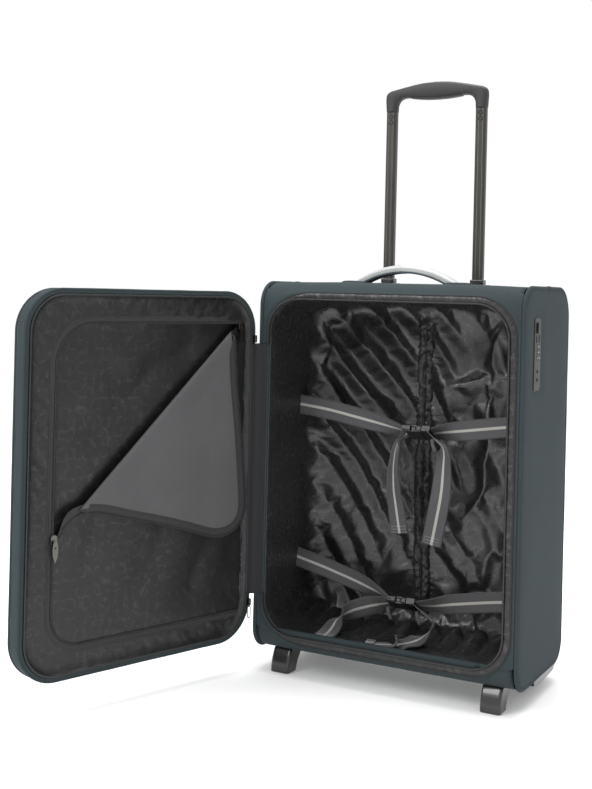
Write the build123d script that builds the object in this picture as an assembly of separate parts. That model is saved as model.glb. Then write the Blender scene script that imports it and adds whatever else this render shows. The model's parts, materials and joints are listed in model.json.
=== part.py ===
from build123d import *
import math
import os

# Softside upright cabin suitcase on two wheels and two feet. Its front lid stands open on the
# fabric hinge at the left, and its trolley handle is pulled out by its upper stage.
# X points right, Y to the back and Z up. The origin is on the floor under the body's middle.

# ---- Body ------------------------------------------------------------------------------------
BODY_W = 365.0
BODY_D = 185.0
BODY_LOW = 30.0
BODY_HIGH = 521.0
FRONT = -BODY_D / 2
BACK = BODY_D / 2
SIDE = BODY_W / 2
FRONT_TOP_R = 30.0
BACK_TOP_R = 38.0
BOTTOM_R = 28.0
PANEL_T = 4.0
PIPING_R = 2.6
BOARD_T = 2.0
LINING_T = 1.5
LINING_BACK = 49.0

# ---- Lid and its opening. The lid is drawn shut, then swung open about the hinge -------------
HINGE_X = -182.0
HINGE_Y = -97.0
LID_OPEN_DEG = 108.5
LID_CENTRE_X = -2.5
LID_CENTRE_Z = 276.5
LID_HALF_W = 173.5
LID_HALF_H = 229.5
LID_R = 50.0
LID_T = 23.0
LID_LIP = 5.5
LID_WALL = 3.0
ZIP_GAP = 0.2
CHAIN_T = 1.3
TAPE_T = 1.5
HINGE_STRIP_LOW = 106.0
HINGE_STRIP_HIGH = 437.0
MAIN_SLIDER_X = 8.3
MAIN_SLIDER_W = 3.4
MAIN_SLIDER_Z = 94.0
MAIN_PULL_LEN = 15.0
MAIN_PULL_W = 4.8
OPEN_HALF_W = LID_HALF_W - LID_LIP
OPEN_HALF_H = LID_HALF_H - LID_LIP
OPEN_R = LID_R - LID_LIP
LID_BACK_Y = HINGE_Y - ZIP_GAP - 2.0
LID_FRONT_Y = LID_BACK_Y - LID_T

# ---- Trolley handle --------------------------------------------------------------------------
POST_X = 66.0
POST_Y = 63.0
INNER_W, INNER_D = 15.0, 11.0
MID_W, MID_D = 18.0, 14.0
OUTER_W, OUTER_D = 21.0, 17.0
TUBE_WALL = 1.2
TUBE_R = 3.0
RIVET_R = 2.0
OUTER_LOW = 44.0
OUTER_HIGH = 515.0
BEZEL_HIGH = 524.5
MID_LOW = 225.0
COLLAR_LOW = 525.0
COLLAR_HIGH = 531.0
INNER_LOW = 470.0
SLEEVE_LOW = 765.0
GRIP_TOP = 804.5
GRIP_UNDER = 781.5
GRIP_D = 24.0
TUBE_TOP = 781.0
RELEASE_HALF = 38.0
RELEASE_HIGH = 785.6

# ---- Carry handle ----------------------------------------------------------------------------
CARRY_Y = -28.0
CARRY_HALF = 84.0
CARRY_TOP = 548.0
CARRY_GRIP_T = 6.5
CARRY_STRAP_T = 5.0

# ---- Wheels, housings and feet ---------------------------------------------------------------
WHEEL_X = 152.0
WHEEL_Y = 78.0
WHEEL_R = 24.0
WHEEL_W = 18.0
TYRE_T = 5.0
AXLE_R = 3.0
RUNNING_GAP = 0.05
HOUSING_IN = 120.0
HOUSING_OUT = 178.7
GUARD_FRONT = -8.0
GUARD_BACK = 107.5
GUARD_LOW = 15.0
GUARD_HIGH = 117.0
CHEEK_T = 3.0
WELL_GAP = 2.5
FOOT_X = 147.0
FOOT_W = 27.0
FOOT_TOE = -84.0
FOOT_HEEL = -62.0
FOOT_TOP_FRONT = -66.0
FOOT_TOP_BACK = -26.0
FOOT_HIGH = 40.0
FOOT_SCREWS_Y = (-54.0, -38.0)
SCREW_R = 1.5

# ---- Combination lock ------------------------------------------------------------------------
LOCK_Y = -48.0
LOCK_LOW = 394.0
LOCK_HIGH = 484.0
LOCK_W = 26.0
LOCK_PLATE_T = 3.0
LOCK_BACK_X = 171.5
DIAL_X = 179.2
DIAL_R = 6.8
DIAL_H = 5.6
DIAL_PITCH = 7.0
DIAL_MIDDLE_Z = 441.5
DIAL_GAP = 0.4
SPINDLE_R = 1.5
BUTTON_Z = 471.5
BUTTON_H = 12.8
BUTTON_W = 8.8
BUTTON_GAP = 0.4
PULL_SLOT_Z = 458.0
PULL_SLOT_H = 9.0
KEY_HOLE_Z = (418.0, 407.5)

# ---- Packing straps --------------------------------------------------------------------------
STRAP_W = 27.0
STRAP_T = 1.3
STRAP_Y = 0.0
BUCKLE_LEN = 27.0
BUCKLE_W = 32.0
BUCKLE_T = 9.0
BUCKLE_TILT = 60.0
UPPER_Z = 325.0
UPPER_X = 19.0
LOWER_Z = 95.0
LOWER_X = 3.0
LEFT_WALL_X = -166.8
RIGHT_WALL_X = 163.0
UPPER_LEFT_Z = 352.0
UPPER_RIGHT_Z = 345.0
LOWER_LEFT_Z = 137.0
LOWER_RIGHT_Z = 121.0
TAIL_W = 22.0
FOLDED_TAIL_W = 16.0
UPPER_TAIL_LOW = 186.0
LOWER_TAIL_LOW = 62.0

# ---- Pockets of the lid ----------------------------------------------------------------------
POCKET_FAR = 127.0
POCKET_NEAR = -160.0
POCKET_LOW = 84.0
POCKET_HIGH = 466.0
POCKET_TOP_R = 50.0
POCKET_LOW_R = 40.0
POCKET_TAPE_W = 9.0
LEFT_SLIDER_Z = 213.0
TOP_SLIDER_X = -153.0
FLAP_FOLD_TOP = (-139.0, 455.0)
FLAP_FOLD_LOW = (122.0, 213.0)
FLAP_TIP = (-158.0, 206.0)
FLAP_HEM_END = (91.0, 237.0)
OUTER_POCKET_T = 5.3


# ---- Helpers ---------------------------------------------------------------------------------
def plate_xz(x_low, x_high, z_low, z_high, radius, y_low, y_high):
    """Upright plate with rounded corners, seen from the front, between two depths."""
    middle = ((x_low + x_high) / 2, (z_low + z_high) / 2)
    outline = RectangleRounded(x_high - x_low, z_high - z_low, radius)
    return extrude(Plane.XZ.offset(-y_high) * Pos(*middle) * outline, y_high - y_low)


def lid_plate(inset, y_low, y_high):
    """Plate that follows the lid's outline, moved in by the inset."""
    return plate_xz(
        LID_CENTRE_X - LID_HALF_W + inset,
        LID_CENTRE_X + LID_HALF_W - inset,
        LID_CENTRE_Z - LID_HALF_H + inset,
        LID_CENTRE_Z + LID_HALF_H - inset,
        LID_R - inset,
        y_low,
        y_high,
    )


def lid_ring(outer_inset, inner_inset, y_low, y_high):
    """Ring that follows the lid's outline."""
    return lid_plate(outer_inset, y_low, y_high) - lid_plate(inner_inset, y_low - 1, y_high + 1)


def box(x_low, x_high, y_low, y_high, z_low, z_high):
    """Box between two corners."""
    middle = Pos((x_low + x_high) / 2, (y_low + y_high) / 2, (z_low + z_high) / 2)
    return middle * Box(x_high - x_low, y_high - y_low, z_high - z_low)


def side_face(inset=0.0):
    """Outline of the body as seen from its side, moved in by the inset."""
    depth = BODY_D - 2 * inset
    height = BODY_HIGH - BODY_LOW - 2 * inset
    face = Plane.YZ * Pos(0, (BODY_LOW + BODY_HIGH) / 2) * Rectangle(depth, height)
    for radius, upper, rear in (
        (BOTTOM_R, False, False),
        (BOTTOM_R, False, True),
        (FRONT_TOP_R, True, False),
        (BACK_TOP_R, True, True),
    ):
        corner_y = (1 if rear else -1) * depth / 2
        corner_z = BODY_HIGH - inset if upper else BODY_LOW + inset
        corner = face.vertices().sort_by_distance((0, corner_y, corner_z))[0]
        face = fillet(corner, radius - inset)
    return face


def side_solid(inset, x_low, x_high):
    """The body's side outline carried from one width to another."""
    return extrude(Pos(x_low, 0, 0) * side_face(inset), x_high - x_low)


def bead(face, radius):
    """Round bead along the outline of a face."""
    path = face.wire()
    return sweep(Plane(origin=path @ 0, z_dir=path % 0) * Circle(radius), path=path)


def tube(x, width, depth, low, high, wall=TUBE_WALL):
    """Upright rectangular tube of one trolley post, with ribs on its front and back."""
    outline = RectangleRounded(width, depth, TUBE_R)
    for side in (-1, 1):
        for offset in (-width / 5, width / 5):
            outline -= Pos(offset, side * depth / 2) * Rectangle(1.4, 0.8)
    bore = RectangleRounded(width - 2 * wall, depth - 2 * wall, TUBE_R - wall)
    return extrude(Pos(x, POST_Y, low) * (outline - bore), high - low)


def upright_bar(x, y, width, depth, radius, low, high):
    """Upright bar with rounded corners."""
    return extrude(Pos(x, y, low) * RectangleRounded(width, depth, radius), high - low)


def pair(maker):
    """The same piece at the left and at the right."""
    return [maker(-1), maker(1)]


def swing_open(shape):
    """Turns a piece of the shut lid to where the open lid holds it."""
    return shape.rotate(Axis((HINGE_X, HINGE_Y, 0), (0, 0, 1)), -LID_OPEN_DEG)


def largest(shape):
    """The one solid that matters when a cut leaves crumbs."""
    return shape.solids().sort_by(SortBy.VOLUME)[-1]


# ---- Body shell ------------------------------------------------------------------------------
def make_piping():
    """Piping beads that close the seams between the wrap and the side panels."""
    outline = side_face(0.6)
    return [Pos(side * (SIDE - 1.0), 0, 0) * bead(outline, PIPING_R) for side in (-1, 1)]


def wheel_well(side, grow=0.0):
    """Outer shape of the box that takes the wheel inside the body."""
    half = WHEEL_W / 2 + WELL_GAP + CHEEK_T + grow
    reach = WHEEL_R + WELL_GAP + CHEEK_T + grow
    x = side * WHEEL_X
    well = Pos(x, WHEEL_Y, WHEEL_R) * Rot(0, 90, 0) * Cylinder(reach, 2 * half)
    well += box(x - half, x + half, WHEEL_Y - reach, WHEEL_Y, BODY_LOW - 16, WHEEL_R)
    well += box(x - half, x + half, WHEEL_Y, BACK + 3, BODY_LOW - 16, WHEEL_R + reach)
    return well


def make_wrap():
    """Panel that runs round the front border, top, back and underside."""
    inner = SIDE - PANEL_T
    wrap = side_solid(0, -inner, inner) - side_solid(PANEL_T, -inner - 1, inner + 1)
    wrap -= lid_plate(LID_LIP, FRONT - 5, 0)
    for side in (-1, 1):
        wrap -= wheel_well(side, 0.2)
        wrap -= upright_bar(side * POST_X, POST_Y, 30.2, 26.2, 5.1, 480, 540)
    return largest(cut_screw_bores(wrap))


def make_side_panels(piping):
    """Stiffened fabric panels at the left and right. The right one is cut for the lock."""
    panels = []
    for side, bead_solid in zip((-1, 1), piping):
        x_low = SIDE - PANEL_T if side > 0 else -SIDE
        panel = side_solid(0, x_low, x_low + PANEL_T) - bead_solid
        if side > 0:
            panel -= lock_box(0.1)
        panels.append(largest(panel))
    return panels


def make_lining():
    """Lining bag of the main compartment, open to the front."""
    bag = lid_plate(LID_LIP - 2.0, FRONT + PANEL_T, LINING_BACK)
    bag -= lid_plate(LID_LIP - 2.0 + LINING_T, FRONT, LINING_BACK - LINING_T)
    bag -= side_outside()
    return largest(bag)


def side_outside():
    """Everything outside the inner face of the body's walls."""
    whole = box(-SIDE, SIDE, FRONT - 5, BACK + 5, BODY_LOW - 5, BODY_HIGH + 5)
    return whole - side_solid(PANEL_T, -SIDE - 1, SIDE + 1)


def hinge_slot(y_low, y_high):
    """Space along the hinge strip, where the zip has no teeth."""
    return box(-SIDE - 9, -150, y_low, y_high, HINGE_STRIP_LOW, HINGE_STRIP_HIGH)


def make_zip_half(y_chain, away):
    """Half of the main zip: a tape and its row of teeth, away from the parting plane."""
    far_chain = y_chain + away * CHAIN_T
    far_tape = far_chain + away * 6.5
    chain = lid_ring(LID_LIP - 0.2, LID_LIP + TAPE_T + 0.2, *sorted((y_chain, far_chain)))
    tape = lid_ring(LID_LIP, LID_LIP + TAPE_T, *sorted((far_chain, far_tape)))
    gap = hinge_slot(-200, 0)
    return [(chain - gap).solid(), (tape - gap).solid()]


def make_boards():
    """Stiffening boards inside the back and on the floor of the body."""
    inner = SIDE - PANEL_T - 4
    back_high = BODY_HIGH - BACK_TOP_R - 2
    back_low = BODY_LOW + BOTTOM_R + 4
    back = box(-inner, inner, BACK - PANEL_T - BOARD_T, BACK - PANEL_T, back_low, back_high)
    floor_low = BODY_LOW + PANEL_T
    floor = box(-inner, inner, FRONT + BOTTOM_R + 2, 44, floor_low, floor_low + BOARD_T)
    return [largest(cut_screw_bores(board)) for board in (back, floor)]


def make_front_wire():
    """Steel wire that keeps the front border in shape, just behind it."""
    inset = LID_LIP - 2.0 - 2.4
    outline = Plane.XZ.offset(-(FRONT + PANEL_T + 8.5)) * Pos(LID_CENTRE_X, LID_CENTRE_Z)
    width = 2 * (LID_HALF_W - inset)
    height = 2 * (LID_HALF_H - inset)
    return bead(outline * RectangleRounded(width, height, LID_R - inset), 1.75)


# ---- Carry handle ----------------------------------------------------------------------------
def arch_band(top, thick, half, width):
    """Arched band over the body's top, as thick as stated at its crown."""
    base = BODY_HIGH - 1.5
    outer = ThreePointArc((-half, base), (0, top), (half, base))
    inner_half = half - 2.2 * thick
    inner = ThreePointArc((inner_half, base), (0, top - thick), (-inner_half, base))
    ends = [Line((half, base), (inner_half, base)), Line((-inner_half, base), (-half, base))]
    face = Plane.XZ.offset(-CARRY_Y - width / 2) * make_face([outer, ends[0], inner, ends[1]])
    return extrude(face, width)


def make_carry_handle():
    """Silver upper shell and the soft strap under it."""
    body_top = side_solid(0, -SIDE, SIDE)
    shell = arch_band(CARRY_TOP, CARRY_GRIP_T, CARRY_HALF, 22.0)
    shell = fillet(shell.edges().filter_by(GeomType.CIRCLE).sort_by(Axis.Z)[-2:], 2.5)
    strap_half = CARRY_HALF - 2.2 * CARRY_GRIP_T - 0.4
    strap = arch_band(CARRY_TOP - CARRY_GRIP_T - 0.2, CARRY_STRAP_T, strap_half, 26.0)
    return largest(shell - body_top), largest(strap - body_top)


# ---- Trolley handle --------------------------------------------------------------------------
def make_outer_tubes():
    """Outer tubes fixed inside the back of the body."""
    return pair(lambda s: tube(s * POST_X, OUTER_W, OUTER_D, OUTER_LOW, OUTER_HIGH))


def make_bezels():
    """Collars in the top panel that hold the outer tubes and guide the middle ones."""

    def one(side):
        x = side * POST_X
        block = upright_bar(x, POST_Y, 30, 26, 5, 500, BEZEL_HIGH)
        block = chamfer(block.faces().sort_by(Axis.Z)[-1].edges(), 1.2)
        block -= upright_bar(x, POST_Y, OUTER_W + 0.1, OUTER_D + 0.1, TUBE_R, 499, OUTER_HIGH)
        bore = (MID_W + 0.6, MID_D + 0.6)
        return (block - upright_bar(x, POST_Y, *bore, TUBE_R, 499, BEZEL_HIGH + 1)).solid()

    return pair(one)


def make_base_bracket():
    """Cross piece under both outer tubes."""
    bracket = box(-88, 88, 50.2, 76, 38, 58)
    for side in (-1, 1):
        bracket -= upright_bar(
            side * POST_X, POST_Y, OUTER_W + 0.1, OUTER_D + 0.1, TUBE_R, OUTER_LOW, 60
        )
    for x in (-30, 0, 30):
        bracket -= box(x - 12, x + 12, 53, 73, 41, 60)
    return bracket.solid()


def make_mid_tubes():
    """Middle stage, which slides in the outer tubes."""
    return pair(lambda s: tube(s * POST_X, MID_W, MID_D, MID_LOW, COLLAR_LOW))


def make_collars():
    """Plastic collars on the middle tubes' upper ends."""

    def one(side):
        collar = upright_bar(side * POST_X, POST_Y, 19.6, 15.6, 3.4, COLLAR_LOW, COLLAR_HIGH)
        collar = chamfer(collar.faces().sort_by(Axis.Z)[-1].edges(), 0.8)
        bore = (INNER_W + 0.6, INNER_D + 0.6, TUBE_R)
        return collar - upright_bar(side * POST_X, POST_Y, *bore, COLLAR_LOW - 1, COLLAR_HIGH + 1)

    return pair(one)


def make_rivets():
    """Two flush rivets in the front wall of each inner tube, under the grip."""
    middle_y = POST_Y - INNER_D / 2 + TUBE_WALL / 2
    return [
        (Pos(side * POST_X, middle_y, z) * Rot(90, 0, 0) * Cylinder(RIVET_R, TUBE_WALL)).solid()
        for side in (-1, 1)
        for z in (SLEEVE_LOW - 7, SLEEVE_LOW - 15)
    ]


def make_inner_tubes():
    """Inner stage, which carries the grip, with the holes of its rivets."""
    tubes = pair(lambda s: tube(s * POST_X, INNER_W, INNER_D, INNER_LOW, TUBE_TOP))
    for rivet in make_rivets():
        tubes = [post - rivet for post in tubes]
    return [post.solid() for post in tubes]


def make_grip():
    """Grip: two legs over the tubes and a thick bar between them."""
    leg_out, leg_in = POST_X + 9.5, POST_X - 9.0
    corner_z = GRIP_TOP - 7.0
    crown = ThreePointArc((-leg_out, corner_z), (0, GRIP_TOP), (leg_out, corner_z))
    belly = ThreePointArc((-leg_in, GRIP_UNDER + 4), (0, GRIP_UNDER), (leg_in, GRIP_UNDER + 4))
    outline = [crown, belly]
    for side in (-1, 1):
        outline.append(Line((side * leg_out, corner_z), (side * leg_out, SLEEVE_LOW)))
        outline.append(Line((side * leg_out, SLEEVE_LOW), (side * leg_in, SLEEVE_LOW)))
        outline.append(Line((side * leg_in, SLEEVE_LOW), (side * leg_in, GRIP_UNDER + 4)))
    face = make_face(outline)
    high = face.vertices().filter_by(lambda v: v.Y > GRIP_UNDER)
    face = fillet(high.filter_by(lambda v: abs(v.X) > POST_X), 11)
    high = face.vertices().filter_by(lambda v: GRIP_UNDER < v.Y < GRIP_UNDER + 5)
    face = fillet(high.filter_by(lambda v: abs(abs(v.X) - leg_in) < 0.1), 9)
    depth = GRIP_D - 6
    grip = extrude(Plane.XZ.offset(-POST_Y - depth / 2) * face, depth)
    rims = grip.faces().filter_by(Axis.Y)
    grip = chamfer([edge for rim in rims for edge in rim.edges()], 3.0)
    for side in (-1, 1):
        x = side * POST_X
        grip -= upright_bar(x, POST_Y, INNER_W + 0.1, INNER_D + 0.1, TUBE_R, 760, TUBE_TOP)
        grip -= Pos(x, POST_Y, 785) * Cylinder(2.2, 12)
    grip -= box(-69, 69, POST_Y - 3.5, POST_Y + 3.5, 785.4, 793.4)
    grip -= box(-38.5, 38.5, POST_Y - 5.4, POST_Y + 5.4, 770, 793.4)
    return largest(grip)


def make_release_bar():
    """Bar under the grip that the fingers squeeze up."""
    low_left, low_right = (-RELEASE_HALF, GRIP_UNDER + 1.5), (RELEASE_HALF, GRIP_UNDER + 1.5)
    high_left, high_right = (-RELEASE_HALF, RELEASE_HIGH), (RELEASE_HALF, RELEASE_HIGH)
    edges = [
        ThreePointArc(low_left, (0, GRIP_UNDER - 1.5), low_right),
        Line(low_right, high_right),
        Line(high_right, high_left),
        Line(high_left, low_left),
    ]
    return extrude(Plane.XZ.offset(-POST_Y - 5) * make_face(edges), 10)


def make_pull_rods():
    """Link and two rods that pass the squeeze down the inner tubes."""
    reach = POST_X + 2
    low, high = INNER_LOW + 8, RELEASE_HIGH + 0.4
    link = box(-reach, reach, POST_Y - 3, POST_Y + 3, RELEASE_HIGH, RELEASE_HIGH + 3)
    for side in (-1, 1):
        link += Pos(side * POST_X, POST_Y, (high + low) / 2) * Cylinder(1.5, high - low)
    return link.solid()


# ---- Wheels, housings and feet ---------------------------------------------------------------
def make_housing(side):
    """Corner guard round the lower back corner, with the well and cheeks of the wheel."""
    front_end, top_end = (GUARD_FRONT, BODY_LOW - 2), (BACK - 2.5, GUARD_HIGH)
    outer = Polyline(
        front_end,
        (GUARD_FRONT, GUARD_LOW + 3),
        (GUARD_FRONT + 28, GUARD_LOW),
        (WHEEL_Y - 4, GUARD_LOW + 2),
        (BACK + 3.5, BODY_LOW),
        (GUARD_BACK, BODY_LOW + 20),
        (GUARD_BACK, GUARD_HIGH - 9),
        (GUARD_BACK - 4.5, GUARD_HIGH),
        top_end,
    )
    closing = Polyline(top_end, (BACK - 32.5, 2 * BODY_LOW), front_end)
    guard_face = Plane.YZ * make_face([*outer.edges(), *closing.edges()])
    x_low = HOUSING_IN if side > 0 else -HOUSING_OUT
    guard = extrude(Pos(x_low, 0, 0) * guard_face, HOUSING_OUT - HOUSING_IN)
    guard -= side_solid(-0.2, -SIDE, SIDE)
    half = WHEEL_W / 2 + WELL_GAP
    reach = WHEEL_R + WELL_GAP
    x = side * WHEEL_X
    well = wheel_well(side) & side_solid(-0.2, -SIDE, SIDE)
    room = Pos(x, WHEEL_Y, WHEEL_R) * Rot(0, 90, 0) * Cylinder(reach, 2 * half)
    room += box(x - half, x + half, WHEEL_Y - reach, 130, -20, WHEEL_R)
    room += box(x - half, x + half, WHEEL_Y, 130, -20, WHEEL_R + 14)
    housing = guard + well - room
    housing -= Pos(x, WHEEL_Y, WHEEL_R) * Rot(0, 90, 0) * Cylinder(AXLE_R, 2 * half + 20)
    for screw in screw_places(side):
        housing -= screw_hole(*screw)
    return largest(housing)


def screw_places(side):
    """Places and directions of the screws of one wheel housing."""
    inner, outer = side * (HOUSING_IN + 7), side * (HOUSING_OUT - 8)
    return [(inner, BACK + 4, 95, True), (outer, BACK + 4, 95, True)] + [
        (inner, 8, BODY_LOW - 4, False),
        (outer, 8, BODY_LOW - 4, False),
    ]


def screw_hole(x, y, z, level):
    """Hole for a screw of a housing, along Y or along Z."""
    turn = Rot(90, 0, 0) if level else Rot(0, 0, 0)
    return Pos(x, y, z) * turn * Cylinder(SCREW_R, 40) + screw_head(x, y, z, level, 3.4, 30)


def screw_head(x, y, z, level, radius, reach):
    """Room for the head of a screw, outwards from its seat."""
    if level:
        return Pos(x, y + reach / 2, z) * Rot(90, 0, 0) * Cylinder(radius, reach)
    return Pos(x, y, z - reach / 2) * Cylinder(radius, reach)


def shanks(side):
    """Shanks of one side's screws: those of the wheel housing, then those of the foot."""
    found = []
    for x, y, z, level in screw_places(side):
        shank = Cylinder(SCREW_R, 12)
        if level:
            found.append(Pos(x, y - 5.9, z) * Rot(90, 0, 0) * shank)
        else:
            found.append(Pos(x, y, z + 5.9) * shank)
    for y in FOOT_SCREWS_Y:
        found.append(Pos(side * FOOT_X, y, BODY_LOW + 1) * Cylinder(SCREW_R, 14))
    return found


def cut_screw_bores(panel):
    """Cuts the bores of all the screws through a panel or board."""
    for side in (-1, 1):
        for shank in shanks(side):
            panel -= shank
    return panel


def make_screws():
    """Screws of the wheel housings and of the feet."""
    screws = []
    for side in (-1, 1):
        heads = [screw_head(*place, 3.2, 2.2) for place in screw_places(side)]
        head_z = BODY_LOW + PANEL_T + BOARD_T + 1.1
        heads += [Pos(side * FOOT_X, y, head_z) * Cylinder(3.2, 2.0) for y in FOOT_SCREWS_Y]
        screws += [(shank + head).solid() for shank, head in zip(shanks(side), heads)]
    return screws


def make_foot(side):
    """Front foot: broad under the body, curved forward as it goes down."""
    toe, heel = (FOOT_TOE, 0), (FOOT_HEEL, 0)
    back_low, back_high = (FOOT_TOP_BACK, BODY_LOW), (FOOT_TOP_BACK, FOOT_HIGH - 4)
    front_high = (FOOT_TOP_FRONT, FOOT_HIGH)
    edges = [
        Line(toe, heel),
        ThreePointArc(heel, (FOOT_HEEL + 8, 16), back_low),
        Line(back_low, back_high),
        Line(back_high, front_high),
        ThreePointArc(front_high, (FOOT_TOE + 4, 22), toe),
    ]
    x_low = side * FOOT_X - FOOT_W / 2
    foot = extrude(Plane.YZ.offset(x_low) * make_face(edges), FOOT_W)
    foot -= side_solid(-0.1, -SIDE, SIDE)
    foot = largest(foot)
    upright = foot.edges().filter_by(lambda e: abs(e.center().X - side * FOOT_X) > FOOT_W / 2 - 0.1)
    front = upright.filter_by(lambda e: e.center().Y < -70 and e.center().Z > 1)
    foot = fillet(front, 3.0)
    for y in FOOT_SCREWS_Y:
        foot -= Pos(side * FOOT_X, y, BODY_LOW) * Cylinder(SCREW_R, 12)
    return largest(foot)


def wheel_disc(radius, width, x):
    """Disc about the wheel's axis line."""
    return Pos(x, WHEEL_Y, WHEEL_R) * Rot(0, 90, 0) * Cylinder(radius, width)


def make_hub(side):
    """Plastic wheel centre with a web between its rim and its boss."""
    x = side * WHEEL_X
    hub = wheel_disc(WHEEL_R - TYRE_T, WHEEL_W - 1, x)
    for face in (-1, 1):
        groove = wheel_disc(WHEEL_R - TYRE_T - 2.5, 6, x + face * WHEEL_W / 2)
        groove -= wheel_disc(7.5, 8, x + face * WHEEL_W / 2)
        hub -= groove
    hub -= wheel_disc(5.0, WHEEL_W + 2, x)
    return hub.solid()


def make_tyre(side):
    """Rubber tyre with rounded shoulders."""
    tyre = wheel_disc(WHEEL_R, WHEEL_W, side * WHEEL_X)
    rim = tyre.edges().filter_by(GeomType.CIRCLE)
    tyre = fillet(rim, 3.0)
    return (tyre - wheel_disc(WHEEL_R - TYRE_T, WHEEL_W + 2, side * WHEEL_X)).solid()


def make_bush(side):
    """Bearing bush pressed in the wheel, which turns on the axle."""
    x = side * WHEEL_X
    return (wheel_disc(5.0, WHEEL_W, x) - wheel_disc(AXLE_R + RUNNING_GAP, WHEEL_W + 2, x)).solid()


def make_axle(side):
    """Steel axle held in the housing's cheeks."""
    return wheel_disc(AXLE_R, WHEEL_W + 2 * (WELL_GAP + CHEEK_T) - 0.4, side * WHEEL_X).solid()


# ---- Lock ------------------------------------------------------------------------------------
def lock_box(grow=0.0):
    """Hidden part of the lock behind its plate."""
    half = LOCK_W / 2 - 3 + grow
    return box(LOCK_BACK_X, SIDE, LOCK_Y - half, LOCK_Y + half, LOCK_LOW + 6 - grow, LOCK_HIGH - 4 + grow)


def dial_heights():
    """Middle heights of the three dials, from the top."""
    return [DIAL_MIDDLE_Z + step * DIAL_PITCH for step in (1, 0, -1)]


def make_lock():
    """Lock body with its face plate, dial windows, pull slots and key holes."""
    half = LOCK_W / 2
    plate = Pos(SIDE, LOCK_Y, (LOCK_LOW + LOCK_HIGH) / 2) * Rot(0, 90, 0)
    plate = plate * extrude(RectangleRounded(LOCK_HIGH - LOCK_LOW, 2 * half, 5), LOCK_PLATE_T)
    plate = chamfer(plate.faces().sort_by(Axis.X)[-1].edges(), 1.0)
    lock = plate + lock_box()
    for z in dial_heights():
        lock -= Pos(DIAL_X, LOCK_Y, z) * Cylinder(DIAL_R + DIAL_GAP, DIAL_H + 2 * 0.35)
    lock -= Pos(DIAL_X, LOCK_Y, DIAL_MIDDLE_Z) * Cylinder(SPINDLE_R, 3 * DIAL_PITCH + 6)
    well = Box(22, BUTTON_W + 2 * BUTTON_GAP, BUTTON_H + 2 * BUTTON_GAP)
    lock -= Pos(SIDE + 7, LOCK_Y, BUTTON_Z) * well
    for offset in (-5.0, 5.0):
        lock -= Pos(SIDE + 6.5, LOCK_Y + offset, PULL_SLOT_Z) * Box(22, 3.2, PULL_SLOT_H)
    for z in KEY_HOLE_Z:
        lock -= Pos(SIDE + 2, LOCK_Y, z) * Rot(0, 90, 0) * Cylinder(1.6, 8)
    return lock.solid()


def make_spindle():
    """Steel spindle that the dials turn on."""
    return (Pos(DIAL_X, LOCK_Y, DIAL_MIDDLE_Z) * Cylinder(SPINDLE_R, 3 * DIAL_PITCH + 5)).solid()


def make_dial(z):
    """Number dial with ten finger notches."""
    dial = Pos(DIAL_X, LOCK_Y, z) * Cylinder(DIAL_R, DIAL_H)
    dial = chamfer(dial.edges().filter_by(GeomType.CIRCLE), 0.5)
    dial -= Pos(DIAL_X, LOCK_Y, z) * Cylinder(SPINDLE_R + RUNNING_GAP, DIAL_H + 2)
    for step in range(10):
        angle = math.radians(18 + 36 * step)
        notch = Pos(
            DIAL_X + (DIAL_R + 0.35) * math.cos(angle), LOCK_Y + (DIAL_R + 0.35) * math.sin(angle), z
        )
        dial -= notch * Cylinder(0.8, DIAL_H + 2)
    return dial.solid()


def make_lock_button():
    """Button that frees the zip pulls."""
    button = Pos(SIDE + 1.7, LOCK_Y, BUTTON_Z) * Box(6.4, BUTTON_W, BUTTON_H)
    return fillet(button.faces().sort_by(Axis.X)[-1].edges(), 1.2).solid()


# ---- Packing straps --------------------------------------------------------------------------
def band(start, end, width=STRAP_W, depth=STRAP_Y):
    """Flat webbing between two points, seen from the front, standing on its edge."""
    (x1, z1), (x2, z2) = start, end
    length = math.hypot(x2 - x1, z2 - z1)
    angle = math.degrees(math.atan2(z2 - z1, x2 - x1))
    place = Pos((x1 + x2) / 2, depth, (z1 + z2) / 2) * Rot(0, -angle, 0)
    return (place * Box(length, STRAP_T, width)).solid()


def buckle_place(x, z):
    """Frame of a buckle half: X along the strap, tilted about it."""
    return Pos(x, STRAP_Y, z) * Rot(BUCKLE_TILT, 0, 0)


def make_socket(x, z):
    """Socket half of a side-release buckle, with a slot for its webbing."""
    body = Box(BUCKLE_LEN, BUCKLE_T, BUCKLE_W)
    body = chamfer(body.edges().filter_by(Axis.X), 2.0)
    body -= Pos(4.5, 0, 0) * Box(BUCKLE_LEN, BUCKLE_T - 3.4, BUCKLE_W - 5)
    for side in (-1, 1):
        body -= Pos(3, 0, side * BUCKLE_W / 2) * Box(9, BUCKLE_T + 2, 6)
    body -= Pos(-BUCKLE_LEN / 2 + 3.5, 0, 0) * Box(2.6, BUCKLE_T + 2, STRAP_W - 2)
    return largest(buckle_place(x - BUCKLE_LEN / 2, z) * body)


def make_clip(x, z):
    """Clip half: a bar for the webbing and three prongs that enter the socket."""
    depth = BUCKLE_T - 5.0
    body = Pos(6.5, 0, 0) * Box(12, BUCKLE_T - 1, BUCKLE_W)
    body -= Pos(8.5, 0, 0) * Box(2.6, BUCKLE_T + 2, STRAP_W - 2)
    body += Pos(-7.5, 0, 0) * Box(17, depth, 4)
    for side in (-1, 1):
        body += Pos(-7.0, 0, side * 9.5) * Box(16, depth, 3.5)
        body += Pos(-12.0, 0, side * 10.6) * Box(6, depth, 4)
    return largest(buckle_place(x + 0.3, z) * body)


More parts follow.
